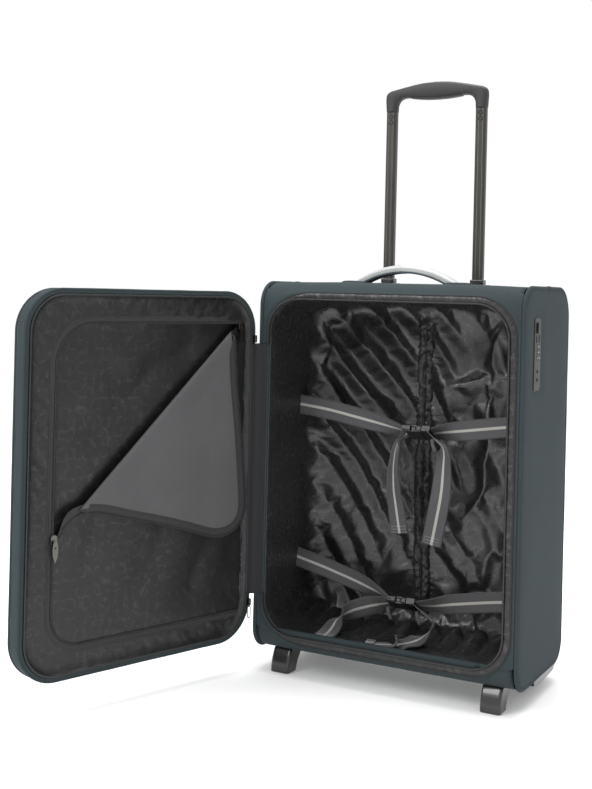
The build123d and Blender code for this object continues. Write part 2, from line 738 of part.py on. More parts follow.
# ---- Lid -------------------------------------------------------------------------------------
def make_lid_panel():
    """Outer tray of the lid with its rim and inner lip."""
    tray = lid_plate(0, LID_FRONT_Y, LID_BACK_Y)
    tray -= lid_plate(LID_WALL, LID_FRONT_Y + LID_WALL, LID_BACK_Y - LID_WALL)
    tray -= lid_plate(LID_LIP, LID_BACK_Y - LID_WALL - 1, LID_BACK_Y + 1)
    for solid in make_lid_piping():
        tray -= solid
    return largest(tray)


def outline_bead(inset, y, radius):
    """Bead along the lid's outline at one depth."""
    width = 2 * (LID_HALF_W - inset)
    height = 2 * (LID_HALF_H - inset)
    place = Plane.XZ.offset(-y) * Pos(LID_CENTRE_X, LID_CENTRE_Z)
    return bead(place * RectangleRounded(width, height, LID_R - inset), radius)


def make_lid_piping():
    """Piping along the front edge of the lid and along its back edge."""
    return [
        outline_bead(0.9, LID_FRONT_Y + 0.9, 2.2),
        outline_bead(0.3, LID_BACK_Y - 2.0, 1.8),
    ]


def make_lid_board():
    """Foam board behind the lid's outer fabric."""
    return lid_plate(9.0, LID_FRONT_Y + LID_WALL, LID_FRONT_Y + LID_WALL + BOARD_T)


def make_lid_wire():
    """Steel wire inside the lid's rim."""
    return outline_bead(LID_WALL + 2.2, LID_FRONT_Y + LID_WALL + 3.0, 1.6)


POCKET_SHEET_Y = HINGE_Y - 7.4
BORDER_T = 1.2


def pocket_window(grow, y_low, y_high):
    """Outline of the inner pocket's zip, with its rounded far corners, as a plate."""
    low, high = POCKET_LOW - grow, POCKET_HIGH + grow
    far, near = POCKET_FAR + grow, POCKET_NEAR
    face = Polyline((near, low), (far, low), (far, high), (near, high), (near, low))
    face = Plane.XZ.offset(-y_high) * make_face(face.edges())
    for z, radius in ((low, POCKET_LOW_R + grow), (high, POCKET_TOP_R + grow)):
        corner = face.vertices().sort_by_distance((far, y_high, z))[0]
        face = fillet(corner, radius)
    return extrude(face, y_high - y_low)


def make_lid_lining():
    """Lining of the lid: a back sheet, a rim and a border round the inner pocket."""
    outer_inset, inner_inset = LID_LIP + TAPE_T + 0.3, LID_LIP + TAPE_T + 0.3 + BORDER_T
    back = LID_FRONT_Y + LID_WALL + BOARD_T + 0.3
    front = POCKET_SHEET_Y - 0.2
    lining = lid_plate(outer_inset, back, front)
    lining -= lid_plate(inner_inset, back + BORDER_T, front - BORDER_T)
    lining -= pocket_window(0, front - BORDER_T - 1, front + 1)
    return largest(lining)


def sheet_xz(points, y_low, y_high):
    """Flat sheet between two depths from a list of corners."""
    face = make_face(Polyline(*points, points[0]).edges())
    return extrude(Plane.XZ.offset(-y_high) * face, y_high - y_low).solid()


def make_pocket_panel():
    """Part of the inner pocket that is still zipped, below the fold."""
    panel = pocket_window(-0.2, POCKET_SHEET_Y - 0.1, POCKET_SHEET_Y + 0.9)
    (tx, tz), (lx, lz) = FLAP_FOLD_TOP, FLAP_FOLD_LOW
    slope = (tz - lz) / (tx - lx)
    high_z = tz + slope * (POCKET_NEAR - 5 - tx)
    right_z = lz + slope * (POCKET_FAR + 5 - lx)
    corners = [(POCKET_NEAR - 5, high_z), (POCKET_FAR + 5, right_z), (POCKET_FAR + 5, 600)]
    corners.append((POCKET_NEAR - 5, 600))
    return largest(panel - sheet_xz(corners, POCKET_SHEET_Y - 5, POCKET_SHEET_Y + 5))


def make_pocket_flap():
    """Unzipped corner of the inner pocket, folded down over the rest."""
    corners = [FLAP_FOLD_TOP, FLAP_TIP, FLAP_HEM_END, (FLAP_FOLD_LOW[0] - 8, FLAP_FOLD_LOW[1] + 7.5)]
    return sheet_xz(corners, POCKET_SHEET_Y + 2.2, POCKET_SHEET_Y + 3.6)


def make_pocket_zip():
    """Fixed tape of the inner pocket's zip."""
    low, high = POCKET_SHEET_Y - 0.1, POCKET_SHEET_Y + 0.9
    tape = pocket_window(POCKET_TAPE_W, low, high) - pocket_window(0, low - 1, high + 1)
    return tape.solid()


def slider_body(x, y, z):
    """Zip slider, with a lug for its pull at the front."""
    body = Pos(x, y, z) * Box(8.5, 3.2, 11)
    body = chamfer(body.edges().filter_by(Axis.Y), 1.8)
    lug = Pos(x, y + 2.05, z - 3.0) * Box(2.4, 1.1, 3.4)
    return (body + lug).solid()


PULL_Y = 4.4


def leaf_pull(x, y, z, length=25.0, half=3.4, thick=1.2):
    """Leaf-shaped pull that hangs from the height z, with an eye near its top."""
    tip, wide = z - length, z - length * 0.62
    edges = [
        ThreePointArc((x - 2.4, z), (x, z + 1.2), (x + 2.4, z)),
        ThreePointArc((x + 2.4, z), (x + half, wide), (x, tip)),
        ThreePointArc((x, tip), (x - half, wide), (x - 2.4, z)),
    ]
    pull = extrude(Plane.XZ.offset(-(y + thick / 2)) * make_face(edges), thick)
    return (pull - Pos(x, y, z - 7) * Rot(90, 0, 0) * Cylinder(1.1, 6)).solid()


def make_parked_sliders(slider_y):
    """Main zip's sliders at both ends of the fabric hinge, and the pocket's upper slider."""
    sliders = [slider_body(TOP_SLIDER_X, slider_y, POCKET_HIGH - 4)]
    x_low = HINGE_X + MAIN_SLIDER_X - MAIN_SLIDER_W / 2
    for z in (MAIN_SLIDER_Z, HINGE_STRIP_HIGH + 8):
        block = box(x_low, x_low + MAIN_SLIDER_W, HINGE_Y - 1.9, HINGE_Y + 3.4, z - 5, z + 5)
        sliders.append(chamfer(block.edges().filter_by(Axis.Y), 1.0).solid())
    return sliders


def make_main_pull():
    """Rectangular wire pull of the lower main slider."""
    middle = Pos(HINGE_X + MAIN_SLIDER_X, MAIN_SLIDER_Z - 6.0 - MAIN_PULL_LEN / 2)
    place = Plane.XZ.offset(-(HINGE_Y + 1.1)) * middle
    return bead(place * RectangleRounded(MAIN_PULL_W, MAIN_PULL_LEN, 2.2), 0.65).solid()


def make_outer_pocket():
    """Shallow pocket on the outside of the lid."""
    front, back = LID_FRONT_Y - OUTER_POCKET_T, LID_FRONT_Y - 0.1
    pocket = lid_plate(26.0, front, back)
    pocket = fillet(pocket.faces().sort_by(Axis.Y)[0].edges(), OUTER_POCKET_T - 1.0)
    return (pocket - lid_plate(29.5, front + LINING_T, back + 1)).solid()


def make_outer_pocket_zip():
    """Zip round the top of the outer pocket, with its slider."""
    low, high = LID_FRONT_Y - 1.5, LID_FRONT_Y - 0.1
    tape = lid_ring(15.0, 25.6, low, high) - box(-300, 300, -200, 0, 0, 330)
    slider = Pos(LID_CENTRE_X + LID_HALF_W - 20.3, LID_FRONT_Y - 3.2, 336) * Box(8.5, 3.2, 11)
    return [tape.solid(), slider.solid()]


def make_outer_pocket_pull():
    """Pull of the outer pocket's slider."""
    return leaf_pull(LID_CENTRE_X + LID_HALF_W - 20.3, LID_FRONT_Y - 6.3, 334)


# ---- Assembly --------------------------------------------------------------------------------
def build_body():
    """Nodes of the body and of all that is fixed to it."""
    piping = make_piping()
    carry_grip, carry_strap = make_carry_handle()
    strip = box(PIPING_R - SIDE + 1.2, -170.6, FRONT - 1.3, FRONT, HINGE_STRIP_LOW, HINGE_STRIP_HIGH)
    lining_zip = box(-13, 13, LINING_BACK - 2.9, LINING_BACK - LINING_T, 72, 486)
    upper_start, upper_end = UPPER_X - BUCKLE_LEN - 3, UPPER_X + 16
    lower_start, lower_end = LOWER_X - BUCKLE_LEN - 3, LOWER_X + 16
    return {
        "wrap_panel": make_wrap(),
        "side_panels": make_side_panels(piping),
        "side_piping": piping,
        "stiffening_boards": make_boards(),
        "front_wire_frame": make_front_wire(),
        "body_zip": make_zip_half(HINGE_Y + ZIP_GAP, 1),
        "body_lining": make_lining(),
        "back_lining_zip": lining_zip,
        "hinge_strip": strip,
        "carry_handle_grip": carry_grip,
        "carry_handle_strap": carry_strap,
        "handle_bezels": make_bezels(),
        "outer_tubes": make_outer_tubes(),
        "tube_base_bracket": make_base_bracket(),
        "wheel_housings": pair(make_housing),
        "wheel_axles": pair(make_axle),
        "base_screws": make_screws(),
        "feet": pair(make_foot),
        "lock_housing": [make_lock(), make_spindle()],
        "left_straps": [
            band((LEFT_WALL_X, UPPER_LEFT_Z), (upper_start, UPPER_Z)),
            band((upper_start - 13, UPPER_Z - 18), (upper_start - 3, UPPER_TAIL_LOW), TAIL_W),
            band((LEFT_WALL_X, LOWER_LEFT_Z), (lower_start, LOWER_Z)),
            band((lower_start - 13, LOWER_Z - 18), (lower_start - 62, LOWER_TAIL_LOW), FOLDED_TAIL_W),
        ],
        "upper_right_strap": band((upper_end, UPPER_Z), (RIGHT_WALL_X, UPPER_RIGHT_Z)),
        "lower_right_strap": band((lower_end, LOWER_Z), (RIGHT_WALL_X, LOWER_RIGHT_Z)),
        "upper_buckle_socket": make_socket(UPPER_X, UPPER_Z),
        "lower_buckle_socket": make_socket(LOWER_X, LOWER_Z),
    }


def build_moving():
    """Nodes that slide or turn on the body."""
    upper_low, lower_low = (UPPER_X + 16, UPPER_TAIL_LOW - 10), (LOWER_X - 35, LOWER_TAIL_LOW)
    upper_tail = band((UPPER_X + 18, UPPER_Z - 19), upper_low, TAIL_W, -4)
    lower_tail = band((LOWER_X + 17, LOWER_Z - 18), lower_low, FOLDED_TAIL_W, -4)
    nodes = {
        "mid_tubes": make_mid_tubes(),
        "mid_collars": make_collars(),
        "inner_tubes": make_inner_tubes(),
        "handle_grip": make_grip(),
        "grip_rivets": make_rivets(),
        "release_bar": make_release_bar(),
        "pull_rods": make_pull_rods(),
        "lock_button": make_lock_button(),
        "upper_buckle_clip": make_clip(UPPER_X, UPPER_Z),
        "lower_buckle_clip": make_clip(LOWER_X, LOWER_Z),
        "upper_right_tail": upper_tail,
        "lower_right_tail": lower_tail,
    }
    for name, side in (("left", -1), ("right", 1)):
        nodes["wheel_hub_" + name] = [make_hub(side), make_bush(side)]
        nodes["tyre_" + name] = make_tyre(side)
    for number, z in enumerate(dial_heights(), 1):
        nodes[f"lock_dial_{number}"] = make_dial(z)
    return nodes


def build_lid():
    """Nodes of the shut lid."""
    slider_y = POCKET_SHEET_Y + 2.9
    return {
        "lid_outer_panel": make_lid_panel(),
        "lid_piping": make_lid_piping(),
        "lid_board": make_lid_board(),
        "lid_wire_frame": make_lid_wire(),
        "lid_zip": make_zip_half(HINGE_Y - ZIP_GAP, -1),
        "lid_lining": make_lid_lining(),
        "pocket_panel": make_pocket_panel(),
        "pocket_flap": make_pocket_flap(),
        "pocket_zip": make_pocket_zip(),
        "pocket_slider_left": slider_body(POCKET_FAR, slider_y, LEFT_SLIDER_Z),
        "pocket_pull_left": leaf_pull(POCKET_FAR, slider_y + PULL_Y, LEFT_SLIDER_Z - 2),
        "pocket_pull_top": leaf_pull(TOP_SLIDER_X, slider_y + PULL_Y, POCKET_HIGH - 6, 22.0),
        "parked_sliders": make_parked_sliders(slider_y),
        "main_pull": make_main_pull(),
        "outer_pocket": make_outer_pocket(),
        "outer_pocket_zip": make_outer_pocket_zip(),
        "outer_pocket_pull": make_outer_pocket_pull(),
    }


def main():
    """Writes one STEP file for each node."""
    os.makedirs("parts", exist_ok=True)
    nodes = {**build_body(), **build_moving()}
    for name, shape in build_lid().items():
        solids = shape if isinstance(shape, list) else [shape]
        nodes[name] = [swing_open(solid) for solid in solids]
    for name, shape in nodes.items():
        solids = shape if isinstance(shape, list) else [shape]
        node = Compound(children=[*solids]) if len(solids) > 1 else solids[0]
        export_step(node, f"parts/{name}.step")
    print(len(nodes), "nodes")


main()
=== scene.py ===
import json
import math
import bmesh
import bpy
import numpy as np
from mathutils import Matrix, Vector
from mathutils.kdtree import KDTree


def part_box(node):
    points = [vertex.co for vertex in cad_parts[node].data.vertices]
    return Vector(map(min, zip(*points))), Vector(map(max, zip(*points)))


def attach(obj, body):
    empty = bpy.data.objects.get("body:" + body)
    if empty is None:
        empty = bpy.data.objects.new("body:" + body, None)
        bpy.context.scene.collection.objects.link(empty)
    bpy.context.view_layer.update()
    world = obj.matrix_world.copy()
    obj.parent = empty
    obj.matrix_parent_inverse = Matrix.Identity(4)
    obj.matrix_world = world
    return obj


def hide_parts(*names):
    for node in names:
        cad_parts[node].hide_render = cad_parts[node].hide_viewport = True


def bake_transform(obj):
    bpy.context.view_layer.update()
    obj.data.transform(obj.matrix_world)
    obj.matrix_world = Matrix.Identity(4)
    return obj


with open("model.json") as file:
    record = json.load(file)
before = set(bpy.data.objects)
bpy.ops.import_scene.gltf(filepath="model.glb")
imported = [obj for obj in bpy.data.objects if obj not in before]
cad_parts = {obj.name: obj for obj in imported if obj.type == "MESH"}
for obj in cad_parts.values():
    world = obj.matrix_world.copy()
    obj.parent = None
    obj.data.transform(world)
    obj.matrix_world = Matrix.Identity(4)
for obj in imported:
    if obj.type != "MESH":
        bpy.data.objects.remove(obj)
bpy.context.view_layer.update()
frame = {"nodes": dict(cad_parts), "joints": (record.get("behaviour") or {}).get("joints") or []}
NODES = frame["nodes"]
JOINTS = {j["name"]: j for j in frame["joints"]}
HINGE = Vector(JOINTS["lid_hinge"]["pos_m"])
OPEN = math.radians(JOINTS["lid_hinge"]["range_deg"][0])
LID = (
    Matrix.Translation((HINGE.x, HINGE.y, 0))
    @ Matrix.Rotation(OPEN, 4, "Z")
    @ Matrix.Translation((-HINGE.x, -HINGE.y, 0))
)
UNLID = LID.inverted()


# ---- Materials -------------------------------------------------------------------------------
class Nodes:
    """Small helper that adds and links shader nodes of one material."""

    def __init__(self, name):
        self.mat = bpy.data.materials.new(name)
        self.mat.use_nodes = True
        self.tree = self.mat.node_tree
        self.bsdf = self.tree.nodes["Principled BSDF"]
        self._coord = None

    def new(self, kind, **settings):
        node = self.tree.nodes.new(kind)
        for key, value in settings.items():
            setattr(node, key, value)
        return node

    def link(self, a, b):
        self.tree.links.new(a, b)

    def feed(self, socket, value):
        """Gives a socket a number, a colour, or a link from another socket."""
        if isinstance(value, (int, float)):
            socket.default_value = value
        elif isinstance(value, tuple):
            socket.default_value = (*value, 1)
        else:
            self.link(value, socket)

    def coords(self, which):
        if self._coord is None:
            self._coord = self.new("ShaderNodeTexCoord")
        return self._coord.outputs[which]

    def placed(self, kind, vector, numbers, output):
        """Output of a new node that reads a vector, with numbers for its other sockets."""
        node = self.new(kind)
        for name, value in numbers.items():
            node.inputs[name].default_value = value
        self.link(vector, node.inputs["Vector"])
        return node.outputs[output]

    def mapped(self, vector, scale):
        return self.placed("ShaderNodeMapping", vector, {"Scale": scale}, "Vector")

    def noise(self, vector, scale, detail=3.0, rough=0.55):
        numbers = {"Scale": scale, "Detail": detail, "Roughness": rough}
        return self.placed("ShaderNodeTexNoise", vector, numbers, "Fac")

    def bands(self, vector, scale):
        """Sine bands that repeat along X."""
        return self.placed("ShaderNodeTexWave", vector, {"Scale": scale}, "Fac")

    def math(self, op, a, b=0.5, clamp=False):
        node = self.new("ShaderNodeMath", operation=op, use_clamp=clamp)
        for socket, value in zip(node.inputs, (a, b)):
            self.feed(socket, value)
        return node.outputs[0]

    def ramp(self, fac, stops):
        node = self.new("ShaderNodeValToRGB")
        ramp = node.color_ramp
        while len(ramp.elements) < len(stops):
            ramp.elements.new(0.5)
        for element, (place, colour) in zip(ramp.elements, stops):
            element.position = place
            element.color = (*colour, 1)
        self.link(fac, node.inputs["Fac"])
        return node.outputs["Color"]

    def remap(self, fac, low, high, from_low=0.0, from_high=1.0):
        node = self.new("ShaderNodeMapRange")
        limits = {"From Min": from_low, "From Max": from_high, "To Min": low, "To Max": high}
        for name, value in limits.items():
            node.inputs[name].default_value = value
        self.link(fac, node.inputs["Value"])
        return node.outputs[0]

    def mix(self, fac, a, b):
        node = self.new("ShaderNodeMix", data_type="RGBA")
        for index, value in ((0, fac), (6, a), (7, b)):
            self.feed(node.inputs[index], value)
        return node.outputs[2]

    def bump(self, height, strength, distance, below=None):
        node = self.new("ShaderNodeBump")
        node.inputs["Strength"].default_value = strength
        node.inputs["Distance"].default_value = distance
        self.link(height, node.inputs["Height"])
        if below is not None:
            self.link(below, node.inputs["Normal"])
        return node.outputs["Normal"]

    def finish(self, colour, rough, normal=None, **fixed):
        """Feeds the shader. Each fixed value goes to the socket whose name it has."""
        for name, value in (("Base Color", colour), ("Roughness", rough), ("Normal", normal)):
            if value is not None:
                self.feed(self.bsdf.inputs[name], value)
        for name, value in fixed.items():
            self.feed(self.bsdf.inputs[name.replace("_", " ")], value)
        return self.mat


def mm(value):
    """Millimetres as metres."""
    return value * 0.001


def weave_height(m, vector, pitch):
    """Height of a plain weave, from 0 to 1, whose threads repeat every pitch metres."""
    parts = m.new("ShaderNodeSeparateXYZ")
    m.link(vector, parts.inputs[0])
    turns = 2 * math.pi / pitch
    across = m.math("SINE", m.math("MULTIPLY", parts.outputs[0], turns))
    along = m.math("SINE", m.math("MULTIPLY", parts.outputs[1], turns))
    return m.math("MULTIPLY_ADD", m.math("MULTIPLY", across, along), 0.5)


def jittered(m, vector, scale, amount):
    """Coordinates moved a little by noise, so that threads aren't ruled lines."""
    wobble = m.placed("ShaderNodeTexNoise", vector, {"Scale": scale, "Detail": 2.0}, "Color")
    move = m.new("ShaderNodeVectorMath", operation="SCALE")
    m.link(wobble, move.inputs[0])
    move.inputs["Scale"].default_value = amount
    add = m.new("ShaderNodeVectorMath", operation="ADD")
    m.link(vector, add.inputs[0])
    m.link(move.outputs[0], add.inputs[1])
    return add.outputs[0]


def woven(name, dark, light, pitch, rough=(0.68, 0.85), depth=0.00025, strength=0.6, coords="UV"):
    """Woven fabric: two thread tones, a weave that stands up, mottling and a soft sheen."""
    m = Nodes(name)
    base = m.coords(coords)
    vector = jittered(m, base, 240.0, 0.00035)
    height = weave_height(m, vector, pitch)
    streak_u = m.noise(m.mapped(base, (1, 14, 1)), 160.0, 2.0)
    streak_v = m.noise(m.mapped(base, (14, 1, 1)), 160.0, 2.0)
    streak = m.math("ADD", streak_u, streak_v)
    threads = m.math("ADD", m.math("MULTIPLY", height, 0.5), m.math("MULTIPLY", streak, 0.35))
    cloud = m.noise(base, 9.0, 4.0)
    tone = m.math("ADD", threads, m.math("MULTIPLY", cloud, 0.35))
    colour = m.ramp(m.remap(tone, 0.0, 1.0, 0.25, 1.15), [(0.0, dark), (1.0, light)])
    roughness = m.remap(m.math("ADD", height, cloud), rough[0], rough[1], 0.0, 2.0)
    soft = m.bump(m.noise(base, 55.0, 3.0), 0.25, 0.0012)
    normal = m.bump(m.math("ADD", height, m.math("MULTIPLY", streak, 0.4)), strength, depth, soft)
    return m.finish(colour, roughness, normal, Sheen_Weight=0.02, Sheen_Roughness=0.45,
                    Specular_IOR_Level=0.1)


def satin(name, dark, light, motif=0.5, spec=0.75):
    """Lining: fine satin with a tonal broken pattern of short strokes."""
    m = Nodes(name)
    base = m.coords("UV")
    cells = m.new("ShaderNodeTexVoronoi", feature="DISTANCE_TO_EDGE")
    cells.inputs["Scale"].default_value = 85.0
    cells.inputs["Randomness"].default_value = 0.55
    m.link(base, cells.inputs["Vector"])
    line = m.remap(cells.outputs["Distance"], 1.0, 0.0, 0.03, 0.11)
    broken = m.remap(m.noise(base, 120.0, 1.0), 0.0, 1.0, 0.46, 0.56)
    stroke = m.math("MULTIPLY", line, broken, True)
    thread = m.noise(m.mapped(base, (1, 22, 1)), 260.0, 2.0)
    cloud = m.noise(base, 14.0, 3.0)
    tone = m.math("ADD", m.math("MULTIPLY", thread, 0.55), m.math("MULTIPLY", cloud, 0.45))
    colour = m.ramp(tone, [(0.2, dark), (0.8, light)])
    colour = m.mix(m.math("MULTIPLY", stroke, motif), colour, tuple(2.3 * c for c in light))
    roughness = m.remap(m.math("SUBTRACT", thread, m.math("MULTIPLY", stroke, 0.7)), 0.27, 0.46)
    fine = m.bump(m.math("ADD", thread, m.math("MULTIPLY", stroke, 0.8)), 0.22, 0.00025)
    normal = m.bump(m.noise(base, 90.0, 3.0), 0.18, 0.0008, fine)
    return m.finish(colour, roughness, normal, Sheen_Weight=0.05, Sheen_Roughness=0.35,
                    Specular_IOR_Level=spec)


def moulded(name, colour, rough, grain_scale=900.0, grain=0.12, spread=0.15, coat=0.0, spec=0.5):
    """Moulded plastic with a fine grain, faint flow marks and scuffs that change its gloss."""
    m = Nodes(name)
    base = m.coords("Object")
    grain_noise = m.noise(base, grain_scale, 3.0)
    flow = m.noise(base, 22.0, 4.0)
    scuff = m.noise(m.mapped(base, (1, 1, 5)), 60.0, 6.0, 0.7)
    shade = m.ramp(flow, [(0.3, tuple(c * 0.82 for c in colour)), (0.75, tuple(c * 1.2 for c in colour))])
    worn = m.remap(scuff, 0.0, 1.0, 0.58, 0.75)
    shade = m.mix(m.math("MULTIPLY", worn, 0.18), shade, tuple(min(1.0, c * 2.2 + 0.01) for c in colour))
    roughness = m.math("ADD", m.remap(flow, rough - spread / 2, rough + spread / 2),
                       m.math("MULTIPLY", worn, 0.1))
    normal = m.bump(grain_noise, grain, 0.0003)
    return m.finish(shade, roughness, normal, Coat_Weight=coat, Coat_Roughness=0.15,
                    Specular_IOR_Level=spec)


def metal(name, colour, rough, brushed=(1, 1, 30), metallic=1.0):
    """Metal or metallic lacquer with fine brushing along one axis."""
    m = Nodes(name)
    base = m.coords("Object")
    lines = m.noise(m.mapped(base, brushed), 420.0, 3.0)
    cloud = m.noise(base, 30.0, 4.0)
    shade = m.ramp(m.math("ADD", m.math("MULTIPLY", lines, 0.6), m.math("MULTIPLY", cloud, 0.4)),
                   [(0.3, tuple(c * 0.72 for c in colour)), (0.7, tuple(min(1, c * 1.2) for c in colour))])
    roughness = m.remap(m.math("ADD", lines, cloud), rough - 0.08, rough + 0.08, 0.6, 1.4)
    normal = m.bump(lines, 0.12, 0.0002)
    return m.finish(shade, roughness, normal, Metallic=metallic)


def tube_metal(name):
    """Dark bronze anodising with fine ribs along the tube."""
    m = Nodes(name)
    base = m.coords("Object")
    streak = m.noise(m.mapped(base, (60, 60, 1)), 30.0, 2.0)
    rib = m.math("POWER", m.bands(base, 52.0), 3.0)
    tone = m.math("ADD", m.math("MULTIPLY", streak, 0.5), m.math("MULTIPLY", rib, 0.5))
    colour = m.ramp(tone, [(0.15, (0.042, 0.040, 0.037)), (0.85, (0.15, 0.144, 0.132))])
    roughness = m.remap(streak, 0.24, 0.4)
    normal = m.bump(m.math("ADD", rib, m.math("MULTIPLY", streak, 0.15)), 0.5, 0.0006)
    return m.finish(colour, roughness, normal, Metallic=0.95)


def rubber(name):
    """Tyre rubber with a dusty running surface."""
    m = Nodes(name)
    base = m.coords("Object")
    dust = m.noise(base, 120.0, 5.0, 0.65)
    shade = m.ramp(dust, [(0.35, (0.016, 0.016, 0.017)), (0.75, (0.06, 0.058, 0.054))])
    normal = m.bump(m.math("ADD", dust, m.bands(base, 120.0)), 0.25, 0.0004)
    return m.finish(shade, m.remap(dust, 0.6, 0.88), normal)


def webbing_material(name, half=0.0135):
    """Dark webbing with a pale centre stripe and a ribbed weave. V runs across the strap."""
    rib_pitch, twill_pitch, stripe_half = 0.0016, 0.0021, 0.0016
    m = Nodes(name)
    uv = m.coords("UV")
    parts = m.new("ShaderNodeSeparateXYZ")
    m.link(uv, parts.inputs[0])
    across = m.math("ABSOLUTE", parts.outputs[1])
    ribs = m.math("SINE", m.math("MULTIPLY", parts.outputs[0], 2 * math.pi / rib_pitch))
    slant = m.math("ADD", parts.outputs[0], parts.outputs[1])
    twill = m.math("SINE", m.math("MULTIPLY", slant, 2 * math.pi / twill_pitch))
    height = m.math("ADD", m.math("MULTIPLY", ribs, 0.5), m.math("MULTIPLY", twill, 0.5))
    fluff = m.noise(uv, 700.0, 3.0)
    raised = m.math("ADD", height, fluff)
    tone = m.remap(raised, 0, 1, -1.0, 2.0)
    dark = m.ramp(tone, [(0.2, (0.026, 0.0250, 0.027)), (0.9, (0.090, 0.087, 0.093))])
    pale = m.ramp(tone, [(0.2, (0.24, 0.23, 0.21)), (0.9, (0.48, 0.47, 0.44))])
    stripe = m.remap(across, 1.0, 0.0, stripe_half, stripe_half + 0.0004)
    edge = m.remap(across, 0.0, 1.0, half - 0.0022, half - 0.0012)
    colour = m.mix(stripe, dark, pale)
    colour = m.mix(m.math("MULTIPLY", edge, 0.5), colour, (0.02, 0.02, 0.021))
    normal = m.bump(raised, 0.5, 0.0003)
    return m.finish(colour, m.remap(fluff, 0.5, 0.72), normal, Sheen_Weight=0.3, Sheen_Roughness=0.4)


def zip_tape_material(name, shade=(0.0065, 0.0065, 0.0075)):
    """Zip tape: plain weave of fine dark threads."""
    m = Nodes(name)
    base = m.coords("UV")
    height = weave_height(m, base, 0.0011)
    fluff = m.noise(base, 500.0, 3.0)
    colour = m.ramp(m.math("ADD", m.math("MULTIPLY", height, 0.5), m.math("MULTIPLY", fluff, 0.5)),
                    [(0.2, shade), (0.85, tuple(3.2 * c for c in shade))])
    normal = m.bump(height, 0.5, 0.0002)
    return m.finish(colour, m.remap(fluff, 0.6, 0.8), normal, Sheen_Weight=0.06, Sheen_Roughness=0.5,
                    Specular_IOR_Level=0.3)


def floor_material():
    """Pale studio floor with a faint unevenness."""
    m = Nodes("studio_floor")
    base = m.coords("Object")
    cloud = m.noise(base, 1.6, 4.0)
    colour = m.ramp(cloud, [(0.3, (0.88, 0.88, 0.88)), (0.7, (0.92, 0.92, 0.92))])
    return m.finish(colour, m.remap(cloud, 0.6, 0.75), Emission_Color=(1, 1, 1), Emission_Strength=0.11)


SLATE_DARK, SLATE_LIGHT = (0.0175, 0.0242, 0.0264), (0.0420, 0.0550, 0.0592)
MAT = {
    "outer": woven("slate_polyester", SLATE_DARK, SLATE_LIGHT, 0.00125),
    "outer_cad": woven("slate_polyester_hidden", SLATE_DARK, SLATE_LIGHT, 0.00125, coords="Object"),
    "piping": woven("slate_piping", SLATE_DARK, SLATE_LIGHT, 0.0011, strength=0.7),
    "lining": satin("black_satin", (0.0035, 0.0035, 0.004), (0.0095, 0.0095, 0.0105)),
    "lining_plain": satin("black_satin_plain", (0.008, 0.008, 0.0085), (0.018, 0.018, 0.0195), motif=0.12),
    "lining_rim": satin("black_satin_rim", (0.010, 0.010, 0.0105), (0.025, 0.025, 0.0255), motif=0.6,
                        spec=0.35),
    "lid_lining": satin("grey_satin", (0.0042, 0.0042, 0.0044), (0.0115, 0.0115, 0.0119), motif=0.55,
                        spec=0.4),
    "flap": woven("satin_reverse", (0.052, 0.0505, 0.0525), (0.115, 0.112, 0.116), 0.0008, (0.5, 0.65),
                  depth=0.00012, strength=0.4),
    "tape": zip_tape_material("zip_tape"),
    "tape_grey": zip_tape_material("grey_zip_tape", (0.014, 0.014, 0.0148)),
    "binding": woven("lining_binding", (0.024, 0.024, 0.024), (0.066, 0.066, 0.065), 0.0007),
    "teeth": moulded("zip_teeth", (0.012, 0.012, 0.013), 0.35, 1500.0, 0.05),
    "hidden_board": moulded("grey_board", (0.22, 0.22, 0.21), 0.8, 300.0, 0.3),
    "wire": metal("spring_wire", (0.30, 0.30, 0.31), 0.35),
    "silver": moulded("silver_moulding", (0.40, 0.415, 0.41), 0.36, 700.0, 0.04, coat=0.15),
    "silver_under": woven("handle_underside", (0.03, 0.042, 0.052), (0.08, 0.105, 0.125), 0.001),
    "gloss_black": moulded("gloss_black_moulding", (0.010, 0.010, 0.011), 0.22, 400.0, 0.05, coat=0.35),
    "matt_black": moulded("matt_black_moulding", (0.014, 0.014, 0.015), 0.42, 1100.0, 0.2),
    "grip": moulded("soft_grip", (0.012, 0.012, 0.0125), 0.55, 1600.0, 0.22, spread=0.1),
    "tube": tube_metal("gunmetal_tube"),
    "dark_steel": metal("dark_steel", (0.06, 0.058, 0.055), 0.35),
    "steel": metal("plain_steel", (0.45, 0.45, 0.45), 0.3),
    "rubber": rubber("tyre_rubber"),
    "lock": metal("gunmetal_lacquer", (0.020, 0.0195, 0.019), 0.38, (4, 4, 30), 0.85),
    "dial": moulded("dial_black", (0.012, 0.012, 0.012), 0.35),
    "digit": moulded("digit_white", (0.72, 0.72, 0.70), 0.5),
    "webbing": webbing_material("striped_webbing"),
    "webbing_narrow": webbing_material("striped_webbing_narrow", half=0.0115),
    "pewter": metal("pewter_plating", (0.13, 0.124, 0.115), 0.3, (1, 1, 8)),
    "thread": woven("slate_thread", (0.05, 0.068, 0.08), (0.13, 0.16, 0.18), 0.0006, coords="Object"),
    "dark_thread": woven("dark_thread", (0.012, 0.012, 0.013), (0.05, 0.05, 0.052), 0.0006, coords="Object"),
    "pale_thread": woven("pale_thread", (0.22, 0.22, 0.21), (0.5, 0.49, 0.46), 0.0006, coords="Object"),
    # Near black with almost no shine: painted shade, standing in for the darkness of the rivet dents and the
    # key holes
    "painted_hole_shade": moulded("painted_hole_shade", (0.002, 0.002, 0.002), 0.9, grain=0.1, spec=0.05),
}


